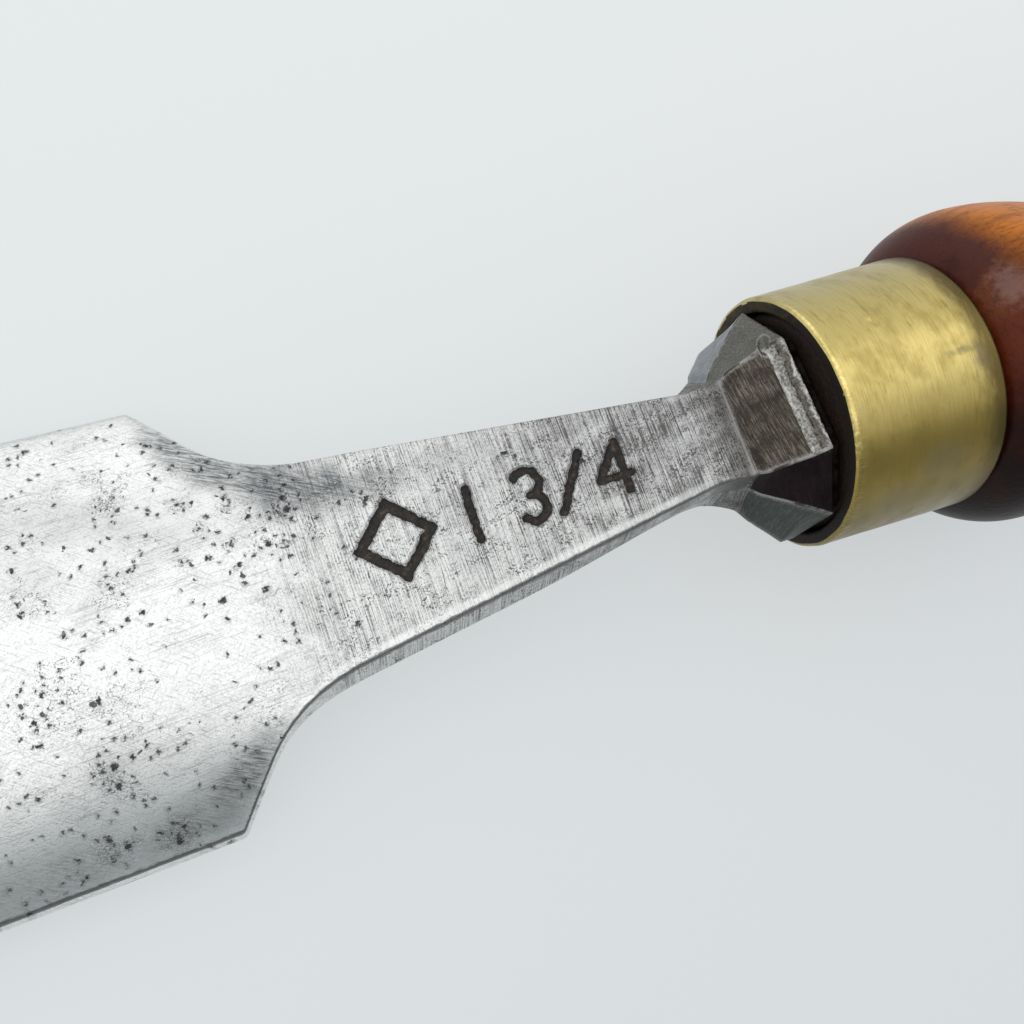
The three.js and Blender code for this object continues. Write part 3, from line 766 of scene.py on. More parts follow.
def add_node(tree, kind, inputs=(), output=0, **settings):
    """Adds a node with its settings and gives one of its outputs.

    The inputs are values or outputs to link, in their order or by their names."""
    node_type, usual_settings = kind
    node = tree.nodes.new(node_type)
    for name, value in (usual_settings | settings).items():
        setattr(node, name, value)
    pairs = inputs.items() if isinstance(inputs, dict) else enumerate(inputs)
    for key, value in pairs:
        if isinstance(value, bpy.types.NodeSocket):
            tree.links.new(value, node.inputs[key])
        else:
            node.inputs[key].default_value = value
    return node.outputs[output] if node.outputs else None


def finish_surface(tree, height, inputs):
    """Ends a material: a shader over a relief whose height is in millimetres."""
    normal = add_node(tree, RELIEF, {"Strength": 1.0, "Distance": mm(1), "Height": height})
    shader = add_node(tree, SHADER, {**inputs, "Normal": normal})
    if "Coat Weight" in inputs:
        tree.links.new(normal, shader.node.inputs["Coat Normal"])
    add_node(tree, SURFACE, {"Surface": shader})


def rgba(tone):
    """A colour with its alpha, or the output that gives one."""
    return tone if isinstance(tone, bpy.types.NodeSocket) else (*tone, 1.0)


def layered(tree, tone, coats):
    """Lays colours over a tone, each by an amount, or by the steps of a pattern's range."""
    for amount, *steps, coat in coats:
        if steps:
            amount = add_node(tree, RANGE, (amount, *steps))
        tone = add_node(tree, COLOUR_MIX, {0: amount, 6: rgba(tone), 7: rgba(coat)}, 2)
    return tone


def weighted(tree, parts, total=0.0):
    """The sum of patterns, each with its weight."""
    for pattern, weight in parts:
        total = add_node(tree, PRODUCT_AND_SUM, (pattern, weight, total))
    return total


def strongest(tree, first, *others):
    """The highest of several patterns."""
    for pattern in others:
        first = add_node(tree, HIGHER, (first, pattern))
    return first


def tool_material(name):
    """A new material, and the place on the tool's axis in millimetres, +X to the handle."""
    material, tree = new_material(name)
    to_frame = tool_placement()
    place = add_node(tree, OBJECT_PLACE, output="Object")
    back = to_frame.inverted().translation * PER_METRE
    turn = (0, -to_frame.to_euler().y, 0)
    return material, tree, add_node(tree, PLACING, (place, back, turn, (PER_METRE,) * 3))


def grain(tree, place, sizes, turn=0.0, detail=3.0, roughness=0.6):
    """Unevenness from 0 to 1 with features of the given sizes in millimetres."""
    placing = {"Vector": place, "Rotation": (0, 0, math.radians(turn)), "Scale": sizes}
    spread = add_node(tree, PATTERN_PLACING, placing)
    noise_inputs = {"Vector": spread, "Scale": 1.0, "Detail": detail, "Roughness": roughness}
    return add_node(tree, NOISE, noise_inputs)


def spots(tree, place, sizes, steps, turn=0.0, detail=3.0, roughness=0.6):
    """Marks of the given sizes, where their unevenness goes over the steps of a range."""
    pattern = grain(tree, place, sizes, turn, detail, roughness)
    return add_node(tree, RANGE, (pattern, *steps))


def uneven_place(tree, place, size, amount):
    """Places pushed about by noise, so that a pattern on them isn't regular."""
    near = add_node(tree, PATTERN_PLACING, {"Vector": place, "Scale": (size,) * 3})
    push = add_node(tree, NOISE, {"Vector": near, "Scale": 1.0, "Detail": 2.0}, "Color")
    return add_node(tree, PUSH, (push, (amount,) * 3, place))


def rust_pits(tree, place, spacing, radius, crowd):
    """How far a place lies inside a round pit, in millimetres.

    crowd is the share of the places that have a pit. Outside it is negative."""
    cell = add_node(tree, PATTERN_PLACING, {"Vector": place, "Scale": (spacing,) * 3})
    away = add_node(tree, CELLS, {"Vector": cell, "Scale": 1.0}, "Distance")
    draw = add_node(tree, SPLIT_COLOUR, (away.node.outputs["Color"],))
    there = add_node(tree, IS_ABOVE, (weighted(tree, ((draw, 1.0),), crowd), 1.0))
    size = weighted(tree, ((draw.node.outputs["Green"], radius * 0.55),), radius * 0.45 + 1.0)
    return weighted(tree, ((there, size), (away, -spacing)), -1.0)


def rust_threads(tree, place, crowd):
    """Threads of tiny pits along winding lines."""
    winding = weighted(tree, ((grain(tree, place, (1.1,) * 3, detail=3.0), 1.0),), -0.5)
    off = add_node(tree, UNSIGNED, (winding,))
    line = add_node(tree, RANGE, (off, 0.03, 0.008, 0.0, 0.55))
    dots = spots(tree, place, (0.15,) * 3, (0.52, 0.6), detail=1.0)
    thread = add_node(tree, PRODUCT, (line, dots))
    return add_node(tree, PRODUCT, (thread, crowd))


def from_middle(tree, place, centre, sizes, turn=0.0):
    """How far a place is from the middle of a spot, as a share of the way to its rim."""
    placing = (place, centre, (0, 0, math.radians(turn)), sizes)
    return add_node(tree, REACH, (add_node(tree, PATTERN_PLACING, placing),), "Value")


# Single deep scratches, given as the patches of haze are
DEEP_SCRATCHES = (
    (36.4, -4.6, 0.07, 2.4, -4, 1.0),
    (33.2, -3.9, 0.06, 1.7, 3, 0.8),
    (28.4, 3.3, 0.05, 1.5, 0, 0.7),
    (46.2, 2.1, 0.05, 2.0, -5, 0.7),
    (61.0, 4.5, 2.2, 0.05, -8, 0.6),
)
# How far up and down the patches of a scratch reach, in millimetres, past all of the steel
SCRATCH_REACH = 40


def grinding_scratches(tree, place, axes, grit):
    """Dark scratches: fine ones along and over the blade, coarse ones across the neck.

    A grit of about 0.1 mm made them, and they are a few millimetres long."""
    lengthwise = grain(tree, place, (2.8, 0.13, 0.6), 3, 3.0, 0.65)
    drift = spots(tree, place, (7.0, 3.0, 7.0), (0.38, 0.6, 0.35, 1.0))
    streaks = add_node(tree, RANGE, (lengthwise, 0.5, 0.68, 0.0, 0.38))
    streaks = add_node(tree, PRODUCT, (streaks, drift))
    hatch = spots(tree, place, (1.6, 0.12, 0.6), (0.54, 0.7, 0.0, 0.32), -38, 2.0)
    crossing = spots(tree, place, (1.3, 0.12, 0.6), (0.56, 0.72, 0.0, 0.26), 47, 2.0)
    blade = weighted(tree, ((strongest(tree, streaks, hatch, crossing), 1.0), (grit, 0.17)))
    fine = spots(tree, place, (0.08, 6.0, 4.0), (0.42, 0.66, 0.0, 0.55), 1, 1.0, 0.5)
    mottle = grain(tree, place, (1.8, 1.4, 1.0), 0, 4.0, 0.65)
    shade = add_node(tree, RANGE, (mottle, 0.38, 0.62, 0.45, 1.0))
    bold = spots(tree, place, (0.16, 5.0, 4.0), (0.6, 0.72, 0.0, 0.45), -1, 1.0)
    lines = add_node(tree, PRODUCT, (strongest(tree, fine, bold), shade))
    speckled = spots(tree, place, (2.2, 1.3, 2.0), (0.5, 0.64, 0.0, 0.55), 8, 2.0)
    speckled = add_node(tree, PRODUCT, (speckled, grit))
    near_bolster = add_node(tree, RANGE, (axes["X"], -40.0, -10.0, 0.0, 0.34))
    clouds = spots(tree, place, (2.6, 1.8, 2.0), (0.36, 0.64, 0.5, 1.3), 20, 3.0)
    near_bolster = add_node(tree, PRODUCT, (near_bolster, clouds))
    neck = weighted(tree, ((lines, 1.0), (grit, 0.24), (speckled, 0.9), (near_bolster, 1.0)), 0.21)
    border = weighted(tree, ((axes["X"], 1.0), (grain(tree, place, (3.0, 2.0, 3.0)), 12.0)))
    on_neck = add_node(tree, RANGE, (border, -48.0, -38.0))
    scratches = add_node(tree, MIX, {0: on_neck, 2: blade, 3: neck})
    deep, push = 0.0, 0.25
    ragged = uneven_place(tree, place, 2.5, push)
    for u, y, half_length, half_width, turn, strength in DEEP_SCRATCHES:
        centre = (-u + push / 2, y + push / 2, 0)
        away = from_middle(tree, ragged, centre, (half_length, half_width, SCRATCH_REACH), turn)
        deep = strongest(tree, deep, add_node(tree, RANGE, (away, 1.0, 0.15, 0.0, strength)))
    return strongest(tree, scratches, deep)


def ground_steel(finish):
    """Carbon tool steel, forged, ground and then left to age.

    It gives a bright satin face with fine scratches along the blade and coarse
    ones across the neck, black rust pits, threads of tiny ones and dull haze. The haze
    patches are mostly painted shade, and a painted highlight runs along the back's left edge."""
    material, tree, place = tool_material("ground_tool_steel")
    axes = add_node(tree, SPLIT, (place,)).node.outputs
    struck, bruised, soiled, hazed, crowds, rubbed = (
        add_node(tree, ATTRIBUTE, output="Fac", attribute_name=name) for name in POINT_MARKS
    )
    # Painted highlight: the rubbed mark brightens the back's left edge and a line where the neck
    # meets the bolster
    rubbed = add_node(tree, PRODUCT, (rubbed, 0.75))

    grit = spots(tree, place, (0.19, 0.19, 0.3), (0.48, 0.64), 0, 2.0, 0.7)
    scratches = grinding_scratches(tree, place, axes, grit)
    hazy = grain(tree, place, (1.8, 0.16, 1.6), -30, 4.0, 0.75)
    clouded = add_node(tree, RANGE, (hazy, 0.34, 0.66, 0.4, 1.2))
    # Painted shade: the hazy patches darken the steel where the blade turns away from the light
    haze = add_node(tree, PRODUCT, (hazed, clouded))
    film = spots(tree, place, (14.0, 7.0, 14.0), (0.48, 0.7, 0.0, 0.2))
    ends = weighted(tree, ((axes["X"], 1.0), (hazy, 3.0)), -1.5)
    smut = add_node(tree, RANGE, (ends, -10.5, -6.6, 0.0, 0.7))

    # Deep pits are 0.25 to 0.6 mm across, small ones 0.15 to 0.35 mm.
    drift = spots(tree, place, (6.0, 5.0, 6.0), (0.42, 0.66), 0, 2.0)
    on_blade = add_node(tree, RANGE, (axes["X"], -38.0, -50.0))
    spread = add_node(tree, PRODUCT, (drift, on_blade))
    wild = uneven_place(tree, place, 0.45, 0.8)
    deep_crowd = weighted(tree, ((spread, 0.16), (crowds, 0.45), (on_blade, 0.04)))
    small_crowd = weighted(tree, ((spread, 0.2), (crowds, 0.65), (on_blade, 0.05)))
    tiny_crowd = weighted(tree, ((bruised, 0.7), (crowds, 0.9), (spread, 0.1)), -0.25)
    edge_grain = grain(tree, place, (0.16,) * 3, 0, 1.0)
    deep = rust_pits(tree, wild, 1.3, 0.27, deep_crowd)
    deep = weighted(tree, ((deep, 1.0), (edge_grain, 0.45), (crowds, 0.08)), -0.23)
    small = rust_pits(tree, wild, 0.75, 0.18, small_crowd)
    small = weighted(tree, ((small, 1.0), (edge_grain, 0.3)), -0.14)
    tiny = rust_pits(tree, wild, 0.36, 0.11, tiny_crowd)
    small_core = add_node(tree, RANGE, (small, -0.02, 0.1, 0.0, 0.8))
    tiny_core = add_node(tree, RANGE, (tiny, -0.02, 0.06, 0.0, 0.5))
    pitted = strongest(
        tree, add_node(tree, RANGE, (deep, -0.03, 0.14, 0.0, 0.95)), small_core, tiny_core
    )
    stain = add_node(tree, RANGE, (strongest(tree, deep, small), -0.28, 0.05, 0.0, 0.45))
    fuzz = add_node(tree, RANGE, (edge_grain, 0.42, 0.62, 0.0, 0.5))
    stain = strongest(tree, stain, add_node(tree, PRODUCT, (crowds, fuzz)))
    where = spots(tree, place, (4.0, 3.5, 4.0), (0.56, 0.66, 0.0, 0.6), 0, 1.0)
    where = add_node(tree, PRODUCT, (where, on_blade))
    threads = rust_threads(tree, place, strongest(tree, where, crowds))
    facing = add_node(tree, FACING, output="Normal")
    upward = add_node(tree, SPLIT, (facing,), "Z")
    level = add_node(tree, RANGE, (add_node(tree, UNSIGNED, (upward,)), 0.3, 0.6))
    pitted = add_node(tree, PRODUCT, (strongest(tree, pitted, threads), level))

    rust_noise = grain(tree, place, (0.8,) * 3, 0, 4.0, 0.7)
    in_mark = add_node(tree, RANGE, (weighted(tree, ((struck, 1.0), (rust_noise, 0.5))), 0.5, 0.8))
    soil = weighted(tree, ((soiled, 0.8), (grain(tree, place, (1.2, 0.3, 0.3)), 1.0)))
    soil = add_node(tree, RANGE, (soil, 0.8, 1.2, 0.0, 0.85))
    rust = layered(tree, finish.oxide, ((rust_noise, 0.5, 0.72, linear("574839")),))
    tone = layered(
        tree,
        finish.steel,
        (
            (film, finish.haze),
            (scratches, finish.scratch),
            (rubbed, finish.steel),
            (smut, finish.scale),
            (haze, finish.haze),
            (stain, finish.haze),
            (soil, finish.scratch),
            (pitted, finish.pit),
            (in_mark, rust),
        ),
    )
    dark = strongest(tree, pitted, in_mark)
    flaked = add_node(tree, PRODUCT, (in_mark, rust_noise))
    height = weighted(
        tree,
        (
            (scratches, -0.01),
            (grit, -0.004),
            (haze, -0.01),
            (pitted, -0.12),
            (flaked, 0.12),
        ),
    )
    roughness = weighted(tree, ((haze, 0.12), (dark, 0.3), (scratches, 0.1)), 0.3)
    metallic = weighted(tree, ((dark, -0.75),), 1.0)
    finish_surface(tree, height, {"Base Color": tone, "Metallic": metallic, "Roughness": roughness})
    return material


def filed_scale(name, base, codes, hatch_sizes, hatch_turn, bare_share):
    """Forge scale on steel, filed over.

    It gives a dull dark face whose file marks show a little bare metal, and pale edges
    that are partly worn steel and partly painted highlights. The codes are the colours of
    its paler blotches and of the bare metal in the marks."""
    light, bare = (linear(code) for code in codes)
    material, tree, place = tool_material(name)
    hatch = grain(tree, place, hatch_sizes, hatch_turn, 3.0, 0.65)
    blotch = grain(tree, place, (1.8,) * 3, 0, 4.0, 0.65)
    speck = grain(tree, place, (0.2,) * 3, 0, 3.0, 0.7)
    # The rubbed mark paints the bolster's edges pale, worn steel with painted highlights, and
    # paints a highlight on the dent's rim
    rubbed = add_node(tree, ATTRIBUTE, output="Fac", attribute_name="rubbed")
    rubbed = add_node(
        tree, RANGE, (weighted(tree, ((rubbed, 1.0), (speck, 0.9))), 0.7, 1.35, 0.0, 0.9)
    )
    lines = add_node(tree, RANGE, (hatch, 0.46, 0.66, 0.0, bare_share))
    lines = add_node(tree, PRODUCT, (lines, add_node(tree, RANGE, (blotch, 0.25, 0.6))))
    tone = layered(
        tree,
        base,
        (
            (blotch, 0.35, 0.68, light),
            (lines, bare),
            (speck, 0.52, 0.68, 0.0, 0.7, [0.4 * c for c in base]),
            (rubbed, linear("A3A29D")),
        ),
    )
    height = weighted(tree, ((hatch, 0.02), (speck, 0.012), (blotch, 0.03)))
    roughness = weighted(tree, ((lines, -0.12),), 0.46)
    finish_surface(tree, height, {"Base Color": tone, "Metallic": 0.8, "Roughness": roughness})
    return material


def worn_edge(finish):
    """A proud edge of the bolster, rubbed back to bare steel here and there."""
    material, tree, place = tool_material("rubbed_steel_edge")
    grit = grain(tree, place, (0.25,) * 3, 0, 3.0, 0.7)
    rubbed = grain(tree, place, (1.4,) * 3, 0, 2.0)
    coats = (
        (rubbed, 0.62, 0.42, 0.0, 0.85, finish.scale),
        (grit, 0.55, 0.7, 0.0, 0.6, finish.scale),
    )
    tone = layered(tree, finish.worn, coats)
    height = weighted(tree, ((grit, 0.03),))
    finish_surface(tree, height, {"Base Color": tone, "Metallic": 1.0, "Roughness": 0.4})
    return material


# Where the land's bright front, its groove and its bright rim lie, in millimetres on the
# tool's axis
LAND_FRONT, LAND_GROOVE, LAND_RIM = -2.15, -1.25, -0.85


def rubbed_land():
    """The bolster's proud land: forged steel, rubbed bright and pitted by rust.

    It gives a glinting front line, a rough grey band, a brown rusted groove and a
    thin bright rim."""
    material, tree, place = tool_material("rubbed_steel_land")
    axes = add_node(tree, SPLIT, (place,)).node.outputs
    ragged = weighted(tree, ((axes["X"], 1.0), (grain(tree, place, (1.6,) * 3), 0.9)), -0.45)
    from_front, from_groove, from_rim = (
        add_node(tree, UNSIGNED, (weighted(tree, ((ragged, 1.0),), -x),))
        for x in (LAND_FRONT, LAND_GROOVE, LAND_RIM)
    )
    grit = grain(tree, place, (0.24,) * 3, 0, 3.0, 0.7)
    dimples = grain(tree, place, (0.6,) * 3, 0, 2.0)
    worn_away = spots(tree, place, (1.2,) * 3, (0.4, 0.6), 0, 2.0)
    glint = strongest(
        tree,
        add_node(tree, RANGE, (from_front, 0.2, 0.04)),
        add_node(tree, RANGE, (from_rim, 0.14, 0.03)),
    )
    glint = add_node(tree, PRODUCT, (glint, worn_away))
    tone = layered(
        tree,
        linear("72706B"),
        (
            (grit, 0.42, 0.62, 0.0, 0.8, linear("ABAAA5")),
            (from_groove, 0.32, 0.1, 0.0, 0.7, linear("4B4137")),
            (glint, linear("BAB9B5")),
            (grit, 0.44, 0.32, 0.0, 0.6, linear("3B3632")),
        ),
    )
    height = weighted(
        tree,
        ((grit, 0.1), (dimples, 0.2), (add_node(tree, RANGE, (from_groove, 0.35, 0.1)), -0.06)),
    )
    finish_surface(tree, height, {"Base Color": tone, "Metallic": 0.95, "Roughness": 0.38})
    return material


# Grey tarnish and stains on the ferrule: how far back from its front, how far
# round from +Y in degrees, half length and half width in millimetres, strength
BRASS_STAINS = (
    (14.8, 97, 1.5, 1.8, 0.8),
    (13.0, 93, 2.4, 0.45, 0.6),
    (9.5, 136, 3.0, 2.4, 0.45),
    (5.0, 150, 2.4, 2.0, 0.35),
)


def turned_brass(finish, ferrule):
    """Yellow brass, turned and rubbed, then tarnished by hands.

    It gives soft fine lines round the tube, olive and grey clouds, a darker back end,
    painted shade on its low side and underside, a greyer painted reflection on its top side,
    and a front lip rubbed golden, with painted glints on it and on fine scratches next to it
    along one side."""
    material, tree, place = tool_material("turned_tarnished_brass")
    axes = add_node(tree, SPLIT, (place,)).node.outputs
    lines = grain(tree, place, (0.13, 4.0, 4.0), 0, 3.0, 0.65)
    brushed = grain(tree, place, (2.4, 0.14, 0.14), 0, 2.0, 0.65)
    clouds = grain(tree, place, (3.0, 5.0, 5.0), 0, 4.0, 0.6)
    wisps = grain(tree, place, (0.7, 2.6, 2.6), 0, 4.0, 0.65)
    # Painted highlights: pale glints on fine scratches next to the lip
    near_lip = add_node(tree, RANGE, (axes["X"], 1.3, 0.4))
    scratch_glints = add_node(tree, RANGE, (brushed, 0.48, 0.66, 0.0, 0.22))
    scratch_glints = add_node(tree, PRODUCT, (near_lip, scratch_glints))
    at_lip = add_node(tree, RANGE, (weighted(tree, ((axes["X"], 1.0), (wisps, 1.2))), 1.25, 0.75))
    at_back = add_node(tree, RANGE, (weighted(tree, ((axes["X"], 1.0), (wisps, 2.0))), 14.2, 16.6))
    # Painted shade on the low side and underside, and a greyer painted reflection on the top side
    painted_low_shade = add_node(
        tree, RANGE, (weighted(tree, ((axes["Y"], 1.0), (clouds, 5.0))), 0.5, -5.0, 0.0, 0.8)
    )
    painted_under_shade = add_node(tree, RANGE, (axes["Y"], -8.5, -12.0, 0.0, 0.7))
    painted_top_reflection = add_node(tree, RANGE, (axes["Y"], 4.0, 11.0, 0.0, 0.6))
    shift = 0.45
    ragged = uneven_place(tree, place, 0.9, 2 * shift)
    stains = 0.0
    radius = ferrule.back / 2 * PER_METRE
    for x, degrees, half_length, half_width, strength in BRASS_STAINS:
        turn = math.radians(degrees)
        centre = (x + shift, radius * math.cos(turn) + shift, radius * math.sin(turn) + shift)
        away = from_middle(tree, ragged, centre, (half_length, half_width, half_width))
        stains = strongest(tree, stains, add_node(tree, RANGE, (away, 1.2, 0.3, 0.0, strength)))
    # Painted highlights: golden glints along the lip, only in a band across the tube's side
    painted_sparkle = spots(tree, place, (0.5,) * 3, (0.45, 0.62, 0.0, 0.9), 0, 3.0, 0.7)
    glint_band = add_node(tree, PRODUCT, (at_lip, add_node(tree, RANGE, (axes["Y"], 10.0, 5.0))))
    glint_band = add_node(tree, PRODUCT, (glint_band, add_node(tree, RANGE, (axes["Y"], -9.0, -4.0))))
    painted_sparkle = add_node(tree, PRODUCT, (glint_band, painted_sparkle))
    tone = layered(
        tree,
        finish.brass,
        (
            (clouds, 0.46, 0.68, 0.0, 0.4, finish.tarnish),
            (painted_low_shade, finish.tarnish),
            (painted_under_shade, linear("6E6748")),
            (painted_top_reflection, linear("A59C7C")),
            (wisps, 0.55, 0.72, 0.0, 0.4, finish.tarnish),
            (lines, 0.5, 0.68, 0.0, 0.35, finish.tarnish),
            (stains, linear("8A8065")),
            (scratch_glints, linear("F0E2A8")),
            (painted_sparkle, linear("F3DD94")),
            (at_back, linear("6F6038")),
        ),
    )
    height = weighted(tree, ((lines, 0.008), (wisps, 0.01), (brushed, 0.004)))
    roughness = weighted(
        tree, ((add_node(tree, RANGE, (clouds, 0.35, 0.7)), 0.12), (stains, 0.15)), 0.3
    )
    finish_surface(tree, height, {"Base Color": tone, "Metallic": 1.0, "Roughness": roughness})
    return material


def blackened_brass(finish):
    """Brass under old wax and oxide at the tube's front end.

    It gives an almost black, slightly glossy face, olive towards its rim."""
    material, tree, place = tool_material("blackened_brass")
    axes = add_node(tree, SPLIT, (place,)).node.outputs
    grit = grain(tree, place, (0.6,) * 3, 0, 4.0, 0.7)
    around = grain(tree, place, (5.0,) * 3, 0, 2.0)
    rubbed = add_node(
        tree, RANGE, (weighted(tree, ((axes["Y"], 0.018), (around, 0.6), (grit, 0.4))), 0.6, 0.95)
    )
    tone = layered(
        tree,
        finish.black_brass,
        ((rubbed, linear("5A4E2A")), (grit, 0.66, 0.76, 0.0, 0.6, linear("5A3A1C"))),
    )
    height = weighted(tree, ((grit, 0.05),))
    waxed = {"Base Color": tone, "Metallic": 0.3, "Roughness": 0.6, "Specular IOR Level": 0.25}
    finish_surface(tree, height, waxed)
    return material


def shellacked_wood(finish, handle):
    """Close-grained hardwood, turned, stained and polished with shellac.

    It gives orange wood that turns red and then black round the handle, the black
    underside partly painted shade, a darker purple-brown colour behind the ferrule, fine dark
    grain and a painted highlight: a pale crazed patch on the polish."""
    material, tree, place = tool_material("shellacked_hardwood")
    axes = add_node(tree, SPLIT, (place,)).node.outputs
    drift = grain(tree, place, (22.0, 5.0, 5.0), 0, 3.0, 0.55)
    figure = grain(tree, place, (9.0, 0.8, 0.8), 0, 4.0, 0.6)
    pores = grain(tree, place, (2.6, 0.16, 0.16), 0, 2.0)
    cloud = grain(tree, place, (2.4,) * 3, 0, 4.0, 0.6)
    reach = handle.bulb / 2 * PER_METRE
    across = weighted(tree, ((axes["Y"], 1 / reach), (drift, 0.7), (figure, 0.3)), -0.5)
    backward = weighted(tree, ((axes["X"], 1.0), (figure, 2.5), (cloud, 2.5)), -2.5)
    # The wood is darker purple-brown just behind the ferrule, on the +Y side
    dusky = add_node(tree, RANGE, (backward, 22.8, 18.8))
    dusky = add_node(tree, PRODUCT, (dusky, add_node(tree, RANGE, (across, 0.0, 0.35))))
    # Across the handle the wood goes from orange on +Y to near black on -Y: two-tone wood whose
    # near-black underside is partly painted shade
    tone = layered(
        tree,
        finish.heartwood,
        (
            (across, 0.05, 0.5, finish.sapwood),
            (figure, 0.5, 0.64, 0.0, 0.45, finish.heartwood),
            (dusky, finish.dusky_wood),
            (cloud, 0.52, 0.7, 0.0, 0.4, linear("2A0F0B")),
            (across, 0.0, -0.4, 0.0, 0.75, linear("2E0A05")),
            (across, -0.25, -0.8, finish.grain),
            (pores, 0.55, 0.7, 0.0, 0.45, finish.grain),
        ),
    )
    crazing = grain(tree, place, (0.7,) * 3, 0, 3.0, 0.65)
    # The painted highlight, a pale crazed patch, is 3.6 mm long and 5.2 mm wide, on the front of
    # the bulb.
    radius, turn = 15.2, math.radians(76)
    centre = (19.0, radius * math.cos(turn), radius * math.sin(turn))
    away = from_middle(tree, place, centre, (1.8, 2.6, 2.6))
    painted_bloom = weighted(tree, ((away, -1.0), (crazing, 1.6)), 0.1)
    tone = layered(tree, tone, ((painted_bloom, -0.3, 0.7, 0.0, 0.42, linear("8E7068")),))
    height = weighted(tree, ((crazing, 0.05), (pores, -0.01), (figure, -0.01)))
    shine = {
        "Base Color": tone,
        "Roughness": 0.38,
        "IOR": 1.5,
        "Specular IOR Level": 0.1,
        "Coat Weight": 0.05,
        "Coat Roughness": 0.15,
    }
    finish_surface(tree, height, shine)
    return material


def raw_end_grain():
    """End grain inside the ferrule, black with old oil."""
    material, tree, place = tool_material("oiled_end_grain")
    grit = grain(tree, place, (1.0, 0.25, 0.25), 0, 4.0, 0.7)
    tone = layered(tree, linear("120B08"), ((grit, 0.4, 0.7, linear("2E1D12")),))
    height = weighted(tree, ((grit, 0.04),))
    finish_surface(tree, height, {"Base Color": tone, "Roughness": 0.7, "Specular IOR Level": 0.25})
    return material


def matt_paint(name, tone):
    """Matt painted board, with the faintest mottling.

    Its places are in metres, and so is the size of the mottling."""
    material, tree = new_material(name)
    place = add_node(tree, OBJECT_PLACE, output="Object")
    mottle = spots(tree, place, (0.11,) * 3, (0.35, 0.65), 0, 2.0)
    mottled = layered(tree, tone, ((mottle, [0.96 * c for c in tone]),))
    board = add_node(tree, SHADER, {"Base Color": mottled, "Roughness": 0.9})
    add_node(tree, SURFACE, {"Surface": board})
    return material


def pale_floor(finish, shown_share):
    """Matt pale board, lit evenly: most of what is seen of it is its own colour.

    Its places are in metres, and it is a little darker in front of the tool, a painted shade."""
    material, tree = new_material("matt_pale_floor")
    place = add_node(tree, OBJECT_PLACE, output="Object")
    axes = add_node(tree, SPLIT, (place,)).node.outputs
    # Painted shade: the floor darkens in front of the tool
    far = add_node(tree, RANGE, (axes["Y"], -0.1, 0.08, 1.0, 0.0))
    tone = layered(tree, finish.floor, ((far, finish.floor_near_shade),))
    ray = add_node(tree, RAY, output="Is Camera Ray").node.outputs
    seen = strongest(tree, ray["Is Camera Ray"], ray["Is Glossy Ray"], ray["Is Transmission Ray"])
    shown = add_node(tree, PRODUCT, (seen, shown_share))
    board = add_node(tree, SHADER, {"Base Color": tone, "Roughness": 0.9})
    own = add_node(tree, GLOW, {"Color": tone, "Strength": 1.0})
    mixed = add_node(tree, SHADER_MIX, (shown, board, own))
    add_node(tree, SURFACE, {"Surface": mixed})
    return material


def tool_placement():
    """The tool's own axis in the frame: it lies on its edge's corners and its bulb."""
    scene = bpy.context.scene
    forging, handle, ferrule = scene.forging_sizes, scene.handle_sizes, scene.ferrule_sizes
    tip = steel_section(forging, outline_points(forging), tip_distance(forging))
    bulb_place = ferrule.length + forging.fit_gap + handle.bulb_run
    fall = handle.bulb / 2 + tip.bottom(tip.bottom_half)
    tilt = math.atan2(fall, bulb_place + tip_distance(forging))
    turn = Matrix.Rotation(-tilt, 4, "Y")
    butt = turn @ Vector((handle.end_place, 0, -handle.butt_flat / 2))
    bulb_low = turn @ Vector((bulb_place, 0, -handle.bulb / 2))
    lowest, highest = CAD_BOX
    shift = Vector((highest.x - butt.x, 0, lowest.z - bulb_low.z))
    return Matrix.Translation(shift) @ turn


def add_object(name, data):
    """Puts a mesh, a lamp or a camera in the scene."""
    added = bpy.data.objects.new(name, data)
    bpy.context.scene.collection.objects.link(added)
    return added


def add_mesh(bm, name, materials):
    """Puts a mesh that is ready in the scene."""
    mesh = bpy.data.meshes.new(name)
    bm.to_mesh(mesh)
    bm.free()
    for material in materials:
        mesh.materials.append(material)
    return add_object(name, mesh)


def finish_piece(bm, name, materials, node):
    """Turns a mesh made on the tool's axis into a piece that stands for a CAD node."""
    bmesh.ops.transform(bm, matrix=tool_placement(), verts=bm.verts)
    bmesh.ops.recalc_face_normals(bm, faces=bm.faces)
    for face in bm.faces:
        face.smooth = True
    piece = add_mesh(bm, name, materials)
    piece.data.set_sharp_from_angle(angle=SHARP_ANGLE)
    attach(piece, BODY)
    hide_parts(node)


# Material slots of the forging
GROUND, BROWN, SHADED_DARK, LIT_GREY, OLIVE, SHADED_DULL, LAND_BAND, WORN, HIDDEN = range(9)
# Finish of each facet of the bolster, in the order of the section's runs. Besides their own
# colour, SHADED_DARK and SHADED_DULL are darkened as painted shade on the facets that face
# away from the light, and LIT_GREY is paled as painted light on the facets that face it.
FACET_FINISH = (BROWN, OLIVE, LIT_GREY, LIT_GREY, BROWN, SHADED_DULL, SHADED_DULL, SHADED_DARK)
# Shares of the way from the neck's end to the land's front
COVE_PLACE, RIDGE_PLACE = 0.11, 0.24


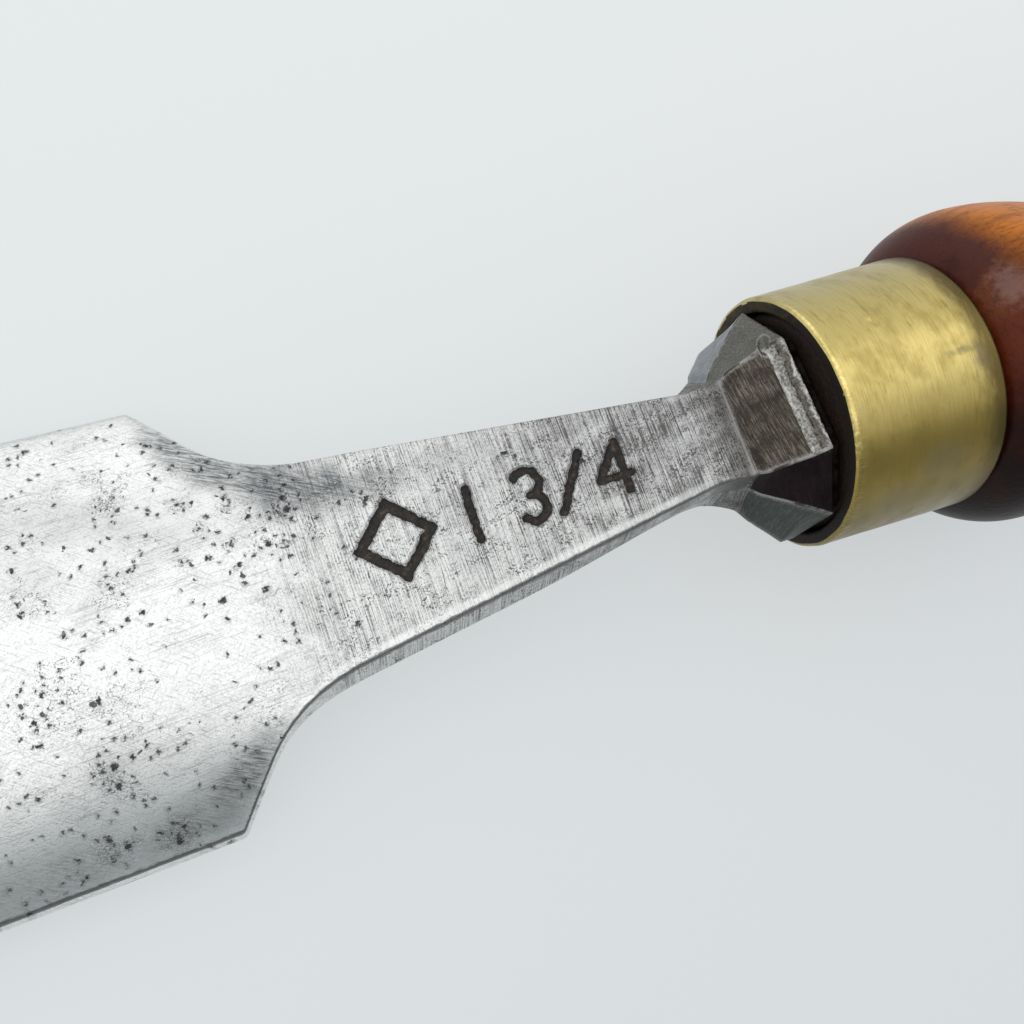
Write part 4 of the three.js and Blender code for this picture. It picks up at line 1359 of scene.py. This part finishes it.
def bolster_keys(s):
    """Key rings of the bolster, from the neck's end back to the tang's tip."""
    gap = s.fit_gap
    rim = -gap - s.rim_depth
    land = rim - s.land_length
    bore = bpy.context.scene.ferrule_sizes.front / 2 - bpy.context.scene.ferrule_sizes.wall
    corner = math.hypot(s.bolster_width / 2, s.side_facet / 2)
    crown = math.hypot(s.top_facet / 2, s.bolster_height / 2)
    seat = min(1.0, (bore - gap) / max(corner, crown))
    recess = bpy.context.scene.handle_sizes.recess - gap
    roll = -s.bolster_roll
    worn = s.bolster_wear
    neck, before = (
        section_ring(steel_section(s, outline_points(s), u), -u, worn)
        for u in (s.bolster_length, s.bolster_length + NECK_STEP)
    )
    front = section_ring(bolster_section(s, 1, s.land_rise), land, worn, roll)
    cove, ridge = (
        [p + Vector((0, p.y, p.z)).normalized() * rise for p in blend_rings(neck, front, amount)]
        for amount, rise in ((COVE_PLACE, -s.cove_depth), (RIDGE_PLACE, s.cove_depth))
    )
    return [
        before,
        cove,
        ridge,
        front,
        section_ring(bolster_section(s, 1, 0), rim, worn, roll),
        section_ring(bolster_section(s, seat, 0), -gap, worn, roll),
        section_ring(bolster_section(s, seat, 0), recess, worn, roll),
        section_ring(tang_section(s, s.tang_root), recess, worn / 2),
        section_ring(tang_section(s, s.tang_tip), recess + s.tang_length, worn / 2),
    ]


# What lies behind the neck's rings and behind each key ring of the bolster
NECK, COVE, RIDGE, FACET, LAND = range(-1, 4)
# How far apart the rings behind each key ring are: the tang needs few
KEY_SPACINGS = (mm(0.2), mm(0.2), mm(0.2), mm(0.16), mm(0.4), mm(1), mm(3), mm(3))

# The dirt on the neck grows towards the flat's left edge: over this stretch in from the
# edge, and over these shares of the height of the side below it.
EDGE_DIRT_STRETCH = (mm(0.06), mm(0.4))
SIDE_DIRT_STRETCH = (0.7, 0.95)
# How dark the thin dirt on the left side and the thick dirt next to the bolster are, and
# the stretches of the neck over which they come to an end
THIN_DIRT, THICK_DIRT = 0.4, 1.1
THIN_DIRT_STRETCH = (mm(28), mm(40))
THICK_DIRT_STRETCH = (mm(7.5), mm(13))


def soiled_share(run, amount, near_edge, u):
    """How dark old dirt lies along the left edge of the flat and on the side below it."""
    if run == TOP_RUN:
        return 1 - ease(near_edge, *EDGE_DIRT_STRETCH)
    if run != LEFT_FACET:
        return 0.0
    thin = THIN_DIRT * (1 - ease(u, *THIN_DIRT_STRETCH))
    thick = THICK_DIRT - ease(u, *THICK_DIRT_STRETCH)
    return max(thin, ease(amount, *SIDE_DIRT_STRETCH), thick)


# The oval dent in the bolster's right facet, on the tool's axis. Its rim is where the
# two gauges, per millimetre along its short and its long way, come to a length of 1.
DENT_PLACE = (-2.03, 6.34, 6.83)
DENT_GAUGES = ((0.99, -0.28, 1.13), (-0.55, -0.63, -0.04))
DENT_DEPTH = mm(0.35)
DENT_BURR = mm(0.06)
# Where its wall lies, and how far from its rim its burr and the painted highlight on its rim
# reach, as shares of the way to the rim, and how strong that highlight is
DENT_WALL = (0.45, 0.95)
DENT_BURR_REACH = 0.22
DENT_RIM_GLINT_REACH = (0.04, 0.24)
DENT_RIM_GLINT = 0.6
# Depth and half width of the groove along the bolster's land
GROOVE_DEPTH, GROOVE_HALF = mm(0.1), mm(0.35)
# How much the edges of each facet of the bolster are rubbed bare and lit by a painted
# highlight, in the order of the runs
FACET_WEAR_AND_GLINT = (0.55, 0.6, 0.6, 0.4, 0.4, 0.4, 0.5, 0.3)
# The share of a facet's width that a rubbed edge takes
RUB_WIDTH = 0.055
# The painted highlight behind the bolster's front: its middle, its reach, how much it
# varies, and the size and seed of its bumps
FRONT_GLINT = mm(0.12)
FRONT_GLINT_REACH = (mm(0.02), mm(0.2))
FRONT_GLINT_SHARE, FRONT_GLINT_SIZE, FRONT_GLINT_SEED = 0.3, mm(1.2), 6.0


def from_dent(point):
    """How far a point is from the dent's middle, as a share of the way to its rim."""
    offset = PER_METRE * point - Vector(DENT_PLACE)
    return math.hypot(*(offset.dot(Vector(gauge)) for gauge in DENT_GAUGES))


def edge_wear_and_glint(point, place, front):
    """How far an edge of the bolster is rubbed bare and lit by a painted highlight, and how bright
    the painted highlights on the rim of its dent and behind its front are.

    The front is where the bolster starts."""
    run, amount = place
    rim = DENT_RIM_GLINT * (1 - ease(abs(from_dent(point) - 1), *DENT_RIM_GLINT_REACH))
    edge = FACET_WEAR_AND_GLINT[run] * (1 - ease(min(amount, 1 - amount), 0, RUB_WIDTH))
    if run == TOP_RUN:
        near_front = 1 - ease(abs(point.x - front - FRONT_GLINT), *FRONT_GLINT_REACH)
        varied = 1 + FRONT_GLINT_SHARE * rough(point, FRONT_GLINT_SIZE, FRONT_GLINT_SEED)
        edge = max(edge, near_front * varied)
    return max(rim, edge)


def left_edge_glint(point, left, u):
    """How strongly a painted highlight lies along the left edge of the back, which lies at left."""
    near = 1 - ease(abs(point.y - left - LEFT_GLINT), *LEFT_GLINT_REACH)
    bumps = LEFT_GLINT_SHARE * rough(point, LEFT_GLINT_SIZE, LEFT_GLINT_SEED)
    return near * (ease(u, *LEFT_GLINT_STRETCH) * (1 - LEFT_GLINT_SHARE + bumps))


def forging_rows(s, marks):
    """Rings of the whole forging, with what lies behind each and its points' marks."""
    points = outline_points(s)
    slope = math.atan(s.back_drop / s.neck_flat)
    normal = Vector((-math.sin(slope), 0, math.cos(slope)))
    places = ring_places()
    rows = []
    for u in ground_stations(s):
        worn = lerp(s.worn_edge, KEEN_ROUND, ease(u, *KEEN_STRETCH))
        ring = section_ring(steel_section(s, points, u), -u, worn)
        left = ring[0].y
        values = []
        for column, (run, amount) in enumerate(places):
            point = ring[column]
            soiled = soiled_share(run, amount, point.y - left, u)
            depth, sunk, near, hazed, crowded, rubbed = (0.0,) * 6
            if run == TOP_RUN:
                hazed = patch_share(SHADE_AND_HAZE_PATCHES, u, point.y)
                crowded = patch_share(PIT_CLUSTERS, u, point.y)
                rubbed = left_edge_glint(point, left, u)
            if run == TOP_RUN and MARKED_STRETCH[0] < u < MARKED_STRETCH[1]:
                depth, sunk, near = mark_fall(s, marks, u, point.y)
            wave = uneven(point, GROUND_WAVES) if u <= WAVY_END else 0.0
            ring[column] = point - normal * depth + Vector((0, 0, wave))
            values.append((sunk, near, soiled, hazed, crowded, rubbed))
        rows.append((ring, NECK, values))
    unmarked = (0.0,) * (len(POINT_MARKS) - 1)
    for ring, key, _ in worn_path(bolster_keys(s), s.bolster_wear, KEY_SPACINGS)[1:]:
        values = []
        for point, place in zip(ring, places):
            rubbed = edge_wear_and_glint(point, place, -s.bolster_length) if key <= LAND else 0.0
            values.append((*unmarked, rubbed))
        rows.append((ring, key, values))
    return rows


def forge_facets(s, rows):
    """Hollows the bolster's facets, grooves its land and strikes its oval dent."""
    places = ring_places()
    for ring, key, _ in rows:
        if key not in (COVE, RIDGE, FACET, LAND):
            continue
        for column, (point, (run, amount)) in enumerate(zip(ring, places)):
            inward = -Vector((0, point.y, point.z)).normalized()
            move = uneven(point, FILED_WAVES)
            if key in (RIDGE, FACET):
                move += s.facet_hollow * 4 * amount * (1 - amount)
            if key == LAND and run == TOP_RUN:
                groove = abs(point.x - mm(LAND_GROOVE) - uneven(point, GROOVE_WAVES))
                move += GROOVE_DEPTH * (1 - ease(groove, 0, GROOVE_HALF))
                move += uneven(point, LAND_WAVES)
            away = from_dent(point)
            move += DENT_DEPTH * (1 - ease(away, *DENT_WALL))
            move -= DENT_BURR * (1 - ease(abs(away - 1), 0, DENT_BURR_REACH))
            ring[column] = point + inward * move


def build_forging(s, marks, materials):
    """The skin of the forging: a grid rolled into a tube through all its rings."""
    rows = forging_rows(s, marks)
    forge_facets(s, rows)
    runs = column_runs()
    columns = len(rows[0][0])
    bm = bmesh.new()
    for name in POINT_MARKS:
        bm.verts.layers.float.new(name)
    # A layer that is made moves the others, so they are looked up last.
    layers = [bm.verts.layers.float[name] for name in POINT_MARKS]
    bmesh.ops.create_grid(bm, x_segments=len(rows) - 1, y_segments=columns, size=0.5)
    for face in bm.faces:
        centre = face.calc_center_median()
        row = math.floor((centre.x + 0.5) * (len(rows) - 1))
        column = math.floor((centre.y + 0.5) * columns)
        face.material_index = face_finish(rows[row][1], runs[column])
    for vert in bm.verts:
        row = round((vert.co.x + 0.5) * (len(rows) - 1))
        column = round((vert.co.y + 0.5) * columns) % columns
        ring, _, values = rows[row]
        vert.co = ring[column]
        for layer, value in zip(layers, values[column]):
            vert[layer] = value
    bmesh.ops.remove_doubles(bm, verts=bm.verts, dist=MERGE_DISTANCE)
    holes = [edge for edge in bm.edges if edge.is_boundary]
    ends = bmesh.ops.holes_fill(bm, edges=holes, sides=0)["faces"]
    bmesh.ops.triangulate(bm, faces=ends)
    finish_piece(bm, "gouge_forging", materials, "blade_forging")


def face_finish(key, run):
    """The material slot of a face from its key ring and its run of the section."""
    if key in (NECK, COVE):
        return GROUND
    if key not in (RIDGE, FACET, LAND):
        return HIDDEN
    if run == WORN_CORNER:
        return WORN
    return LAND_BAND if key == LAND and run == TOP_RUN else FACET_FINISH[run]


def spin_profile(bm, profile, turns, closed):
    """Turns a profile of places along and out from the axis round the axis."""
    verts = [bmesh.ops.create_vert(bm, co=(x, 0, radius))["vert"][0] for x, radius in profile]
    pairs = list(zip(verts, verts[1:]))
    if closed:
        pairs.append((verts[-1], verts[0]))
    edges = [bm.edges.new(pair) for pair in pairs]
    bmesh.ops.spin(
        bm,
        geom=verts + edges,
        cent=(0, 0, 0),
        axis=(1, 0, 0),
        dvec=(0, 0, 0),
        angle=math.tau,
        steps=turns,
        use_merge=True,
        use_duplicate=False,
    )
    bmesh.ops.remove_doubles(bm, verts=bm.verts, dist=MERGE_DISTANCE)


def spaced(start, end, spacing):
    """Values from just after start up to end, about one spacing apart."""
    steps = max(1, math.ceil(abs(end - start) / spacing))
    return [lerp(start, end, (step + 1) / steps) for step in range(steps)]


def quarter_turn(steps):
    """Angles from 0 to a quarter of a turn."""
    return [math.pi / 2 * step / steps for step in range(steps + 1)]


def ferrule_profile(f):
    """The tube's section: bore, front face, round lip, outside and back face."""
    front, back = f.front / 2, f.back / 2
    bore_front, bore_back = front - f.wall, back - f.wall
    lip, edge = f.lip, f.edge

    def outside(x):
        return lerp(front, back, x / f.length)

    points = [(edge, bore_front), (0, bore_front + edge)]
    points += [(0, radius) for radius in spaced(bore_front + edge, front - lip, FACE_SPACING)]
    for turn in quarter_turn(LIP_STEPS)[1:]:
        rise = (outside(lip) - front + lip) * math.sin(turn)
        points.append((lip * (1 - math.cos(turn)), front - lip + rise))
    points += [(x, outside(x)) for x in spaced(lip, f.length - edge, TUBE_SPACING)]
    points += [(f.length, back - edge), (f.length, bore_back + edge), (f.length - edge, bore_back)]
    for x in spaced(f.length - edge, edge, BORE_SPACING)[:-1]:
        points.append((x, lerp(bore_front, bore_back, x / f.length)))
    return points


# The prick-punch dent in the ferrule: how far back, how far round from +Y, its radius,
# and the radius, height and reach of the burr round it
PUNCH_PLACE = mm(5.7)
PUNCH_TURN = math.radians(70)
PUNCH_RADIUS = mm(0.6)
BURR_RADIUS, BURR_HEIGHT, BURR_REACH = mm(0.7), mm(0.04), mm(0.25)
# How far back from the ferrule's front its lip is worn
LIP_WEAR = mm(1.2)
# How far in from the tube's outside it is worn, and is bright brass, as shares of the lip
WORN_SKIN, BRIGHT_SKIN = 1.1, 0.8


def build_ferrule(f, materials):
    """The brass tube, spun from its section, then dented and worn."""
    bm = bmesh.new()
    spin_profile(bm, ferrule_profile(f), FERRULE_TURNS, closed=True)
    front = f.front / 2
    for vert in bm.verts:
        x, y, z = vert.co
        radius = math.hypot(y, z)
        if radius < lerp(front, f.back / 2, x / f.length) - f.lip * WORN_SKIN:
            continue
        near_lip = 1 - ease(x, 0, LIP_WEAR)
        away = math.hypot(x - PUNCH_PLACE, (math.atan2(z, y) - PUNCH_TURN) * radius)
        move = uneven(vert.co, TUBE_WAVES) + near_lip * uneven(vert.co, LIP_WAVES)
        move -= f.dent * (1 - ease(away, 0, PUNCH_RADIUS))
        move += BURR_HEIGHT * (1 - ease(abs(away - BURR_RADIUS), 0, BURR_REACH))
        vert.co += Vector((0, y, z)) / radius * move
    for face in bm.faces:
        centre = face.calc_center_median()
        radius = math.hypot(centre.y, centre.z)
        outer = lerp(front, f.back / 2, centre.x / f.length)
        face.material_index = 1 if radius < outer - f.lip * BRIGHT_SKIN else 0
    finish_piece(bm, "brass_ferrule", materials, "ferrule")


def handle_radius(h, bulb_place, x):
    """Radius of the handle behind its bulb."""
    if x < h.waist_place:
        amount = (x - bulb_place) / (h.waist_place - bulb_place)
        return lerp(h.bulb / 2, h.waist / 2, (1 - math.cos(math.pi * amount)) / 2)
    amount = (x - h.waist_place) / (h.barrel_place - h.waist_place)
    return lerp(h.waist / 2, h.barrel / 2, (1 - math.cos(math.pi * amount)) / 2)


def handle_profile(h, f, gap, hole):
    """The handle's outline, from the tang's hole round the outside to the butt."""
    nose_front = f.front / 2 - f.wall - gap
    nose_back = f.back / 2 - f.wall - gap
    root, bulb, barrel, flat = h.bulb_root / 2, h.bulb / 2, h.barrel / 2, h.butt_flat / 2
    bulb_place = f.length + gap + h.bulb_run
    points = [(h.recess, hole)]
    face_end = nose_front - h.nose_chamfer
    points += [(h.recess, radius) for radius in spaced(hole, face_end, NOSE_SPACING)]
    points.append((h.recess + h.nose_chamfer, nose_front))
    for x in spaced(h.recess + h.nose_chamfer, f.length, HIDDEN_SPACING):
        points.append((x, lerp(nose_front, nose_back, x / f.length)))
    for turn in quarter_turn(PROFILE_STEPS):
        radius = root + (bulb - root) * math.sin(turn)
        points.append((bulb_place - h.bulb_run * math.cos(turn), radius))
    for x in spaced(bulb_place, h.barrel_place, WOOD_SPACING):
        points.append((x, handle_radius(h, bulb_place, x)))
    for turn in quarter_turn(PROFILE_STEPS)[1:]:
        along = h.barrel_place + (h.end_place - h.barrel_place) * math.sin(turn)
        points.append((along, flat + (barrel - flat) * math.cos(turn)))
    points += [(h.end_place, radius) for radius in spaced(flat, 0, BUTT_SPACING)]
    return points


# The ring round the tang's square hole, outside its corners, as a share of its half width
HOLE_ROUND = 1.6
# Faces this close to the axis, as a share of the hole's half width, are the hole's
HOLE_REACH = 1.5
# How far behind the ferrule and before the butt the wood's wear grows to its full depth
CALM_FRONT, CALM_END = mm(2), mm(3)
# Sizes of the wear's broad and fine bumps, and the seed of the fine ones
BROAD_WEAR, FINE_WEAR, FINE_SEED = mm(9), mm(2.5), 3.0
# Points this close to the butt's middle, and faces this close to its flat, are the butt's
BUTT_REACH = mm(1)


def build_handle(h, f, s, materials):
    """The turned handle, spun from its outline, with the tang's square hole."""
    gap = s.fit_gap
    slope = (s.tang_root - s.tang_tip) / s.tang_length
    start, end = h.recess, h.recess + s.tang_length
    start_half = (s.tang_root + 2 * gap - slope * gap) / 2
    end_half = start_half - slope * (end - start) / 2
    hole_round = start_half * HOLE_ROUND
    bm = bmesh.new()
    spin_profile(bm, handle_profile(h, f, gap, hole_round), HANDLE_TURNS, closed=False)
    for vert in bm.verts:
        x, y, z = vert.co
        radius = math.hypot(y, z)
        if x > f.length and radius > BUTT_REACH:
            move = h.wear * rough(vert.co, BROAD_WEAR)
            move += h.wear / 3 * rough(vert.co, FINE_WEAR, FINE_SEED)
            calm = ease(x, f.length, f.length + CALM_FRONT)
            calm -= ease(x, h.end_place - CALM_END, h.end_place)
            vert.co += Vector((0, y, z)) / radius * (move - h.wear / 2) * calm
    for place, half in ((start, start_half), (end, end_half)):
        rim = [edge for edge in bm.edges if edge.is_boundary]
        made = bmesh.ops.extrude_edge_only(bm, edges=rim)["geom"]
        for vert in (item for item in made if isinstance(item, bmesh.types.BMVert)):
            turn = math.atan2(vert.co.z, vert.co.y)
            reach = half / max(abs(math.cos(turn)), abs(math.sin(turn)))
            vert.co = (place, reach * math.cos(turn), reach * math.sin(turn))
    rim = [edge for edge in bm.edges if edge.is_boundary]
    bmesh.ops.holes_fill(bm, edges=rim, sides=0)
    for face in bm.faces:
        centre = face.calc_center_median()
        near_axis = math.hypot(centre.y, centre.z) < start_half * HOLE_REACH
        in_hole = near_axis and centre.x < h.end_place - BUTT_REACH
        face.material_index = 1 if centre.x < f.length or in_hole else 0
    finish_piece(bm, "turned_handle", materials, "handle")


# The forge scales in the order of the slots BROWN to SHADED_DULL, and then HIDDEN: name,
# finish, codes of the pale blotches and of the bare file marks, size of those in millimetres,
# their turn in degrees and how much of them shows. They are 0.15 to 0.3 mm apart on the
# brown, black and dull scales, and the grey and olive ones are clouded instead. The
# purple-black and dull grey scales are darkened as painted shade, the blue-grey one paled
# as painted light.
SCALES = (
    ("brown_filed_scale", "scale", ("423B34", "8B847B"), (0.075, 1.9, 1.6), 6, 0.6),
    ("purple_black_scale", "dark_scale", ("1F1417", "3A2C30"), (0.14, 3.0, 3.0), 8, 0.25),
    ("blue_grey_scale", "grey_scale", ("92959B", "B4B7BC"), (0.5, 0.3, 3.0), 0, 0.4),
    ("olive_grey_scale", "olive_scale", ("605F59", "88877F"), (0.22, 0.22, 0.22), 0, 0.6),
    ("dull_grey_scale", "dull_scale", ("3F4441", "646964"), (0.14, 1.6, 1.6), 5, 0.45),
    ("bare_forge_scale", "dark_scale", ("4F463D", "4F463D"), (0.6, 0.6, 0.6), 0, 0.3),
)


class GOUGE_OT_forging(bpy.types.Operator):
    """Build the steel forging: blade, neck, bolster and tang"""

    bl_idname = "gouge.forging"
    bl_label = "Steel Forging"

    def execute(self, context):
        scene = context.scene
        finish = scene.gouge_finish
        *filed, hidden = (
            filed_scale(name, getattr(finish, tone), *rest) for name, tone, *rest in SCALES
        )
        bright = [rubbed_land(), worn_edge(finish)]
        materials = [ground_steel(finish), *filed, *bright, hidden]
        build_forging(scene.forging_sizes, scene.mark_sizes, materials)
        return {"FINISHED"}


class GOUGE_OT_ferrule(bpy.types.Operator):
    """Build the brass ferrule"""

    bl_idname = "gouge.ferrule"
    bl_label = "Brass Ferrule"

    def execute(self, context):
        finish = context.scene.gouge_finish
        sizes = context.scene.ferrule_sizes
        build_ferrule(sizes, [turned_brass(finish, sizes), blackened_brass(finish)])
        return {"FINISHED"}


class GOUGE_OT_handle(bpy.types.Operator):
    """Build the turned wooden handle"""

    bl_idname = "gouge.handle"
    bl_label = "Turned Handle"

    def execute(self, context):
        scene = context.scene
        finish = scene.gouge_finish
        materials = [shellacked_wood(finish, scene.handle_sizes), raw_end_grain()]
        build_handle(scene.handle_sizes, scene.ferrule_sizes, scene.forging_sizes, materials)
        return {"FINISHED"}


# The camera's place on the tool's axis, in millimetres, the picture's right and up
# directions, a telephone's field of view, and how near the camera still sees
CAMERA_PLACE = Vector((-52.04, -15.11, 85.77))
CAMERA_RIGHT = Vector((0.9242, -0.3259, 0.1993))
CAMERA_UP = Vector((0.2785, 0.9319, 0.2324))
CAMERA_LENS = 34.56
SENSOR_WIDTH = 36.0
CAMERA_NEAR = mm(5)
# Places in the frame, in metres: the lamps' middles, the card's middle along and across
# and the height of its foot
LAMP_PLACES = {
    "overhead": (-0.36, 0.06, 0.7),
    "window": (-0.15, 0.68, 0.29),
    "rear": (0.5, 0.14, 0.62),
}
CARD_ALONG, CARD_ACROSS, CARD_FOOT = 0.05, -0.42, 0.04


class GOUGE_OT_stage(bpy.types.Operator):
    """Build the pale floor, the soft light and the camera"""

    bl_idname = "gouge.stage"
    bl_label = "Studio"

    def execute(self, context):
        scene = context.scene
        sizes, finish = scene.stage_sizes, scene.gouge_finish
        build_floor(sizes.floor_radius, pale_floor(finish, sizes.floor_share))
        build_card(sizes, matt_paint("matt_grey_card", finish.card))
        for lamp, place in LAMP_PLACES.items():
            watts, size = getattr(sizes, lamp + "_power"), getattr(sizes, lamp + "_size")
            add_lamp(lamp + "_lamp", watts, size, place)
        set_world(finish.sky, sizes.world_strength)
        add_camera()
        scene.view_settings.view_transform = "Standard"
        return {"FINISHED"}


def build_floor(radius, material):
    """A round board that lies at the frame's lowest height."""
    bm = bmesh.new()
    bmesh.ops.create_circle(bm, cap_ends=True, radius=radius, segments=BOARD_SIDES)
    board = add_mesh(bm, "floor", [material])


def build_card(sizes, material):
    """A grey card beside the tool, out of the camera's sight, that shades the metal."""
    bm = bmesh.new()
    bmesh.ops.create_grid(bm, x_segments=1, y_segments=1, size=0.5)
    size = Vector((sizes.card_width, sizes.card_height, 1))
    bmesh.ops.scale(bm, vec=size, verts=bm.verts)
    bmesh.ops.rotate(bm, verts=bm.verts, matrix=Matrix.Rotation(math.radians(90), 3, "X"))
    middle = (CARD_ALONG, CARD_ACROSS, sizes.card_height / 2 + CARD_FOOT)
    bmesh.ops.translate(bm, vec=middle, verts=bm.verts)
    card = add_mesh(bm, "grey_card", [material])
    card.visible_camera = False


def add_lamp(name, watts, size, place):
    """A square soft lamp that faces the tool."""
    lamp = bpy.data.lights.new(name, "AREA")
    lamp.energy = watts
    lamp.size = size
    holder = add_object(name, lamp)
    holder.location = place
    holder.rotation_euler = (-Vector(place)).to_track_quat("-Z", "Y").to_euler()
    holder.visible_camera = False


def set_world(tone, strength):
    """Even light all round."""
    world = bpy.data.worlds.new("studio")
    world.use_nodes = True
    background = world.node_tree.nodes["Background"]
    background.inputs["Color"].default_value = rgba(tone)
    background.inputs["Strength"].default_value = strength
    bpy.context.scene.world = world


def add_camera():
    """The camera at the photographed angle, close to the tool."""
    right, up = CAMERA_RIGHT.normalized(), CAMERA_UP.normalized()
    back = right.cross(up).normalized()
    up = back.cross(right)
    axes = Matrix((right, up, back)).transposed().to_4x4()
    place = Matrix.Translation(CAMERA_PLACE / PER_METRE)
    camera = bpy.data.cameras.new("close_camera")
    camera.lens = CAMERA_LENS
    camera.sensor_width = SENSOR_WIDTH
    camera.clip_start = CAMERA_NEAR
    holder = add_object("close_camera", camera)
    holder.matrix_world = tool_placement() @ place @ axes
    bpy.context.scene.camera = holder


class GOUGE_PT_panel(bpy.types.Panel):
    """Buttons and sizes of the gouge"""

    bl_idname = "GOUGE_PT_panel"
    bl_label = "Gouge"
    bl_space_type = "VIEW_3D"
    bl_region_type = "UI"
    bl_category = "Gouge"

    def draw(self, context):
        for operator in OPERATORS:
            self.layout.operator(operator.bl_idname)
        for attribute in GROUPS:
            group = getattr(context.scene, attribute)
            box = self.layout.box()
            for name in type(group).__annotations__:
                box.prop(group, name)


GROUPS = {
    "forging_sizes": ForgingSizes,
    "mark_sizes": MarkSizes,
    "ferrule_sizes": FerruleSizes,
    "handle_sizes": HandleSizes,
    "stage_sizes": StageSizes,
    "gouge_finish": GougeFinish,
}
OPERATORS = (GOUGE_OT_forging, GOUGE_OT_ferrule, GOUGE_OT_handle, GOUGE_OT_stage)


def register():
    """Registers the classes and gives the scene its sizes and colours."""
    for attribute, group in GROUPS.items():
        bpy.utils.register_class(group)
        setattr(bpy.types.Scene, attribute, PointerProperty(type=group))
    for operator in OPERATORS:
        bpy.utils.register_class(operator)
    bpy.utils.register_class(GOUGE_PT_panel)


def unregister():
    """Takes back what register added."""
    bpy.utils.unregister_class(GOUGE_PT_panel)
    for operator in reversed(OPERATORS):
        bpy.utils.unregister_class(operator)
    for attribute, group in GROUPS.items():
        delattr(bpy.types.Scene, attribute)
        bpy.utils.unregister_class(group)


def main():
    """Builds everything."""
    register()
    bpy.ops.gouge.forging()
    bpy.ops.gouge.ferrule()
    bpy.ops.gouge.handle()
    bpy.ops.gouge.stage()


if __name__ == "__main__":
    main()
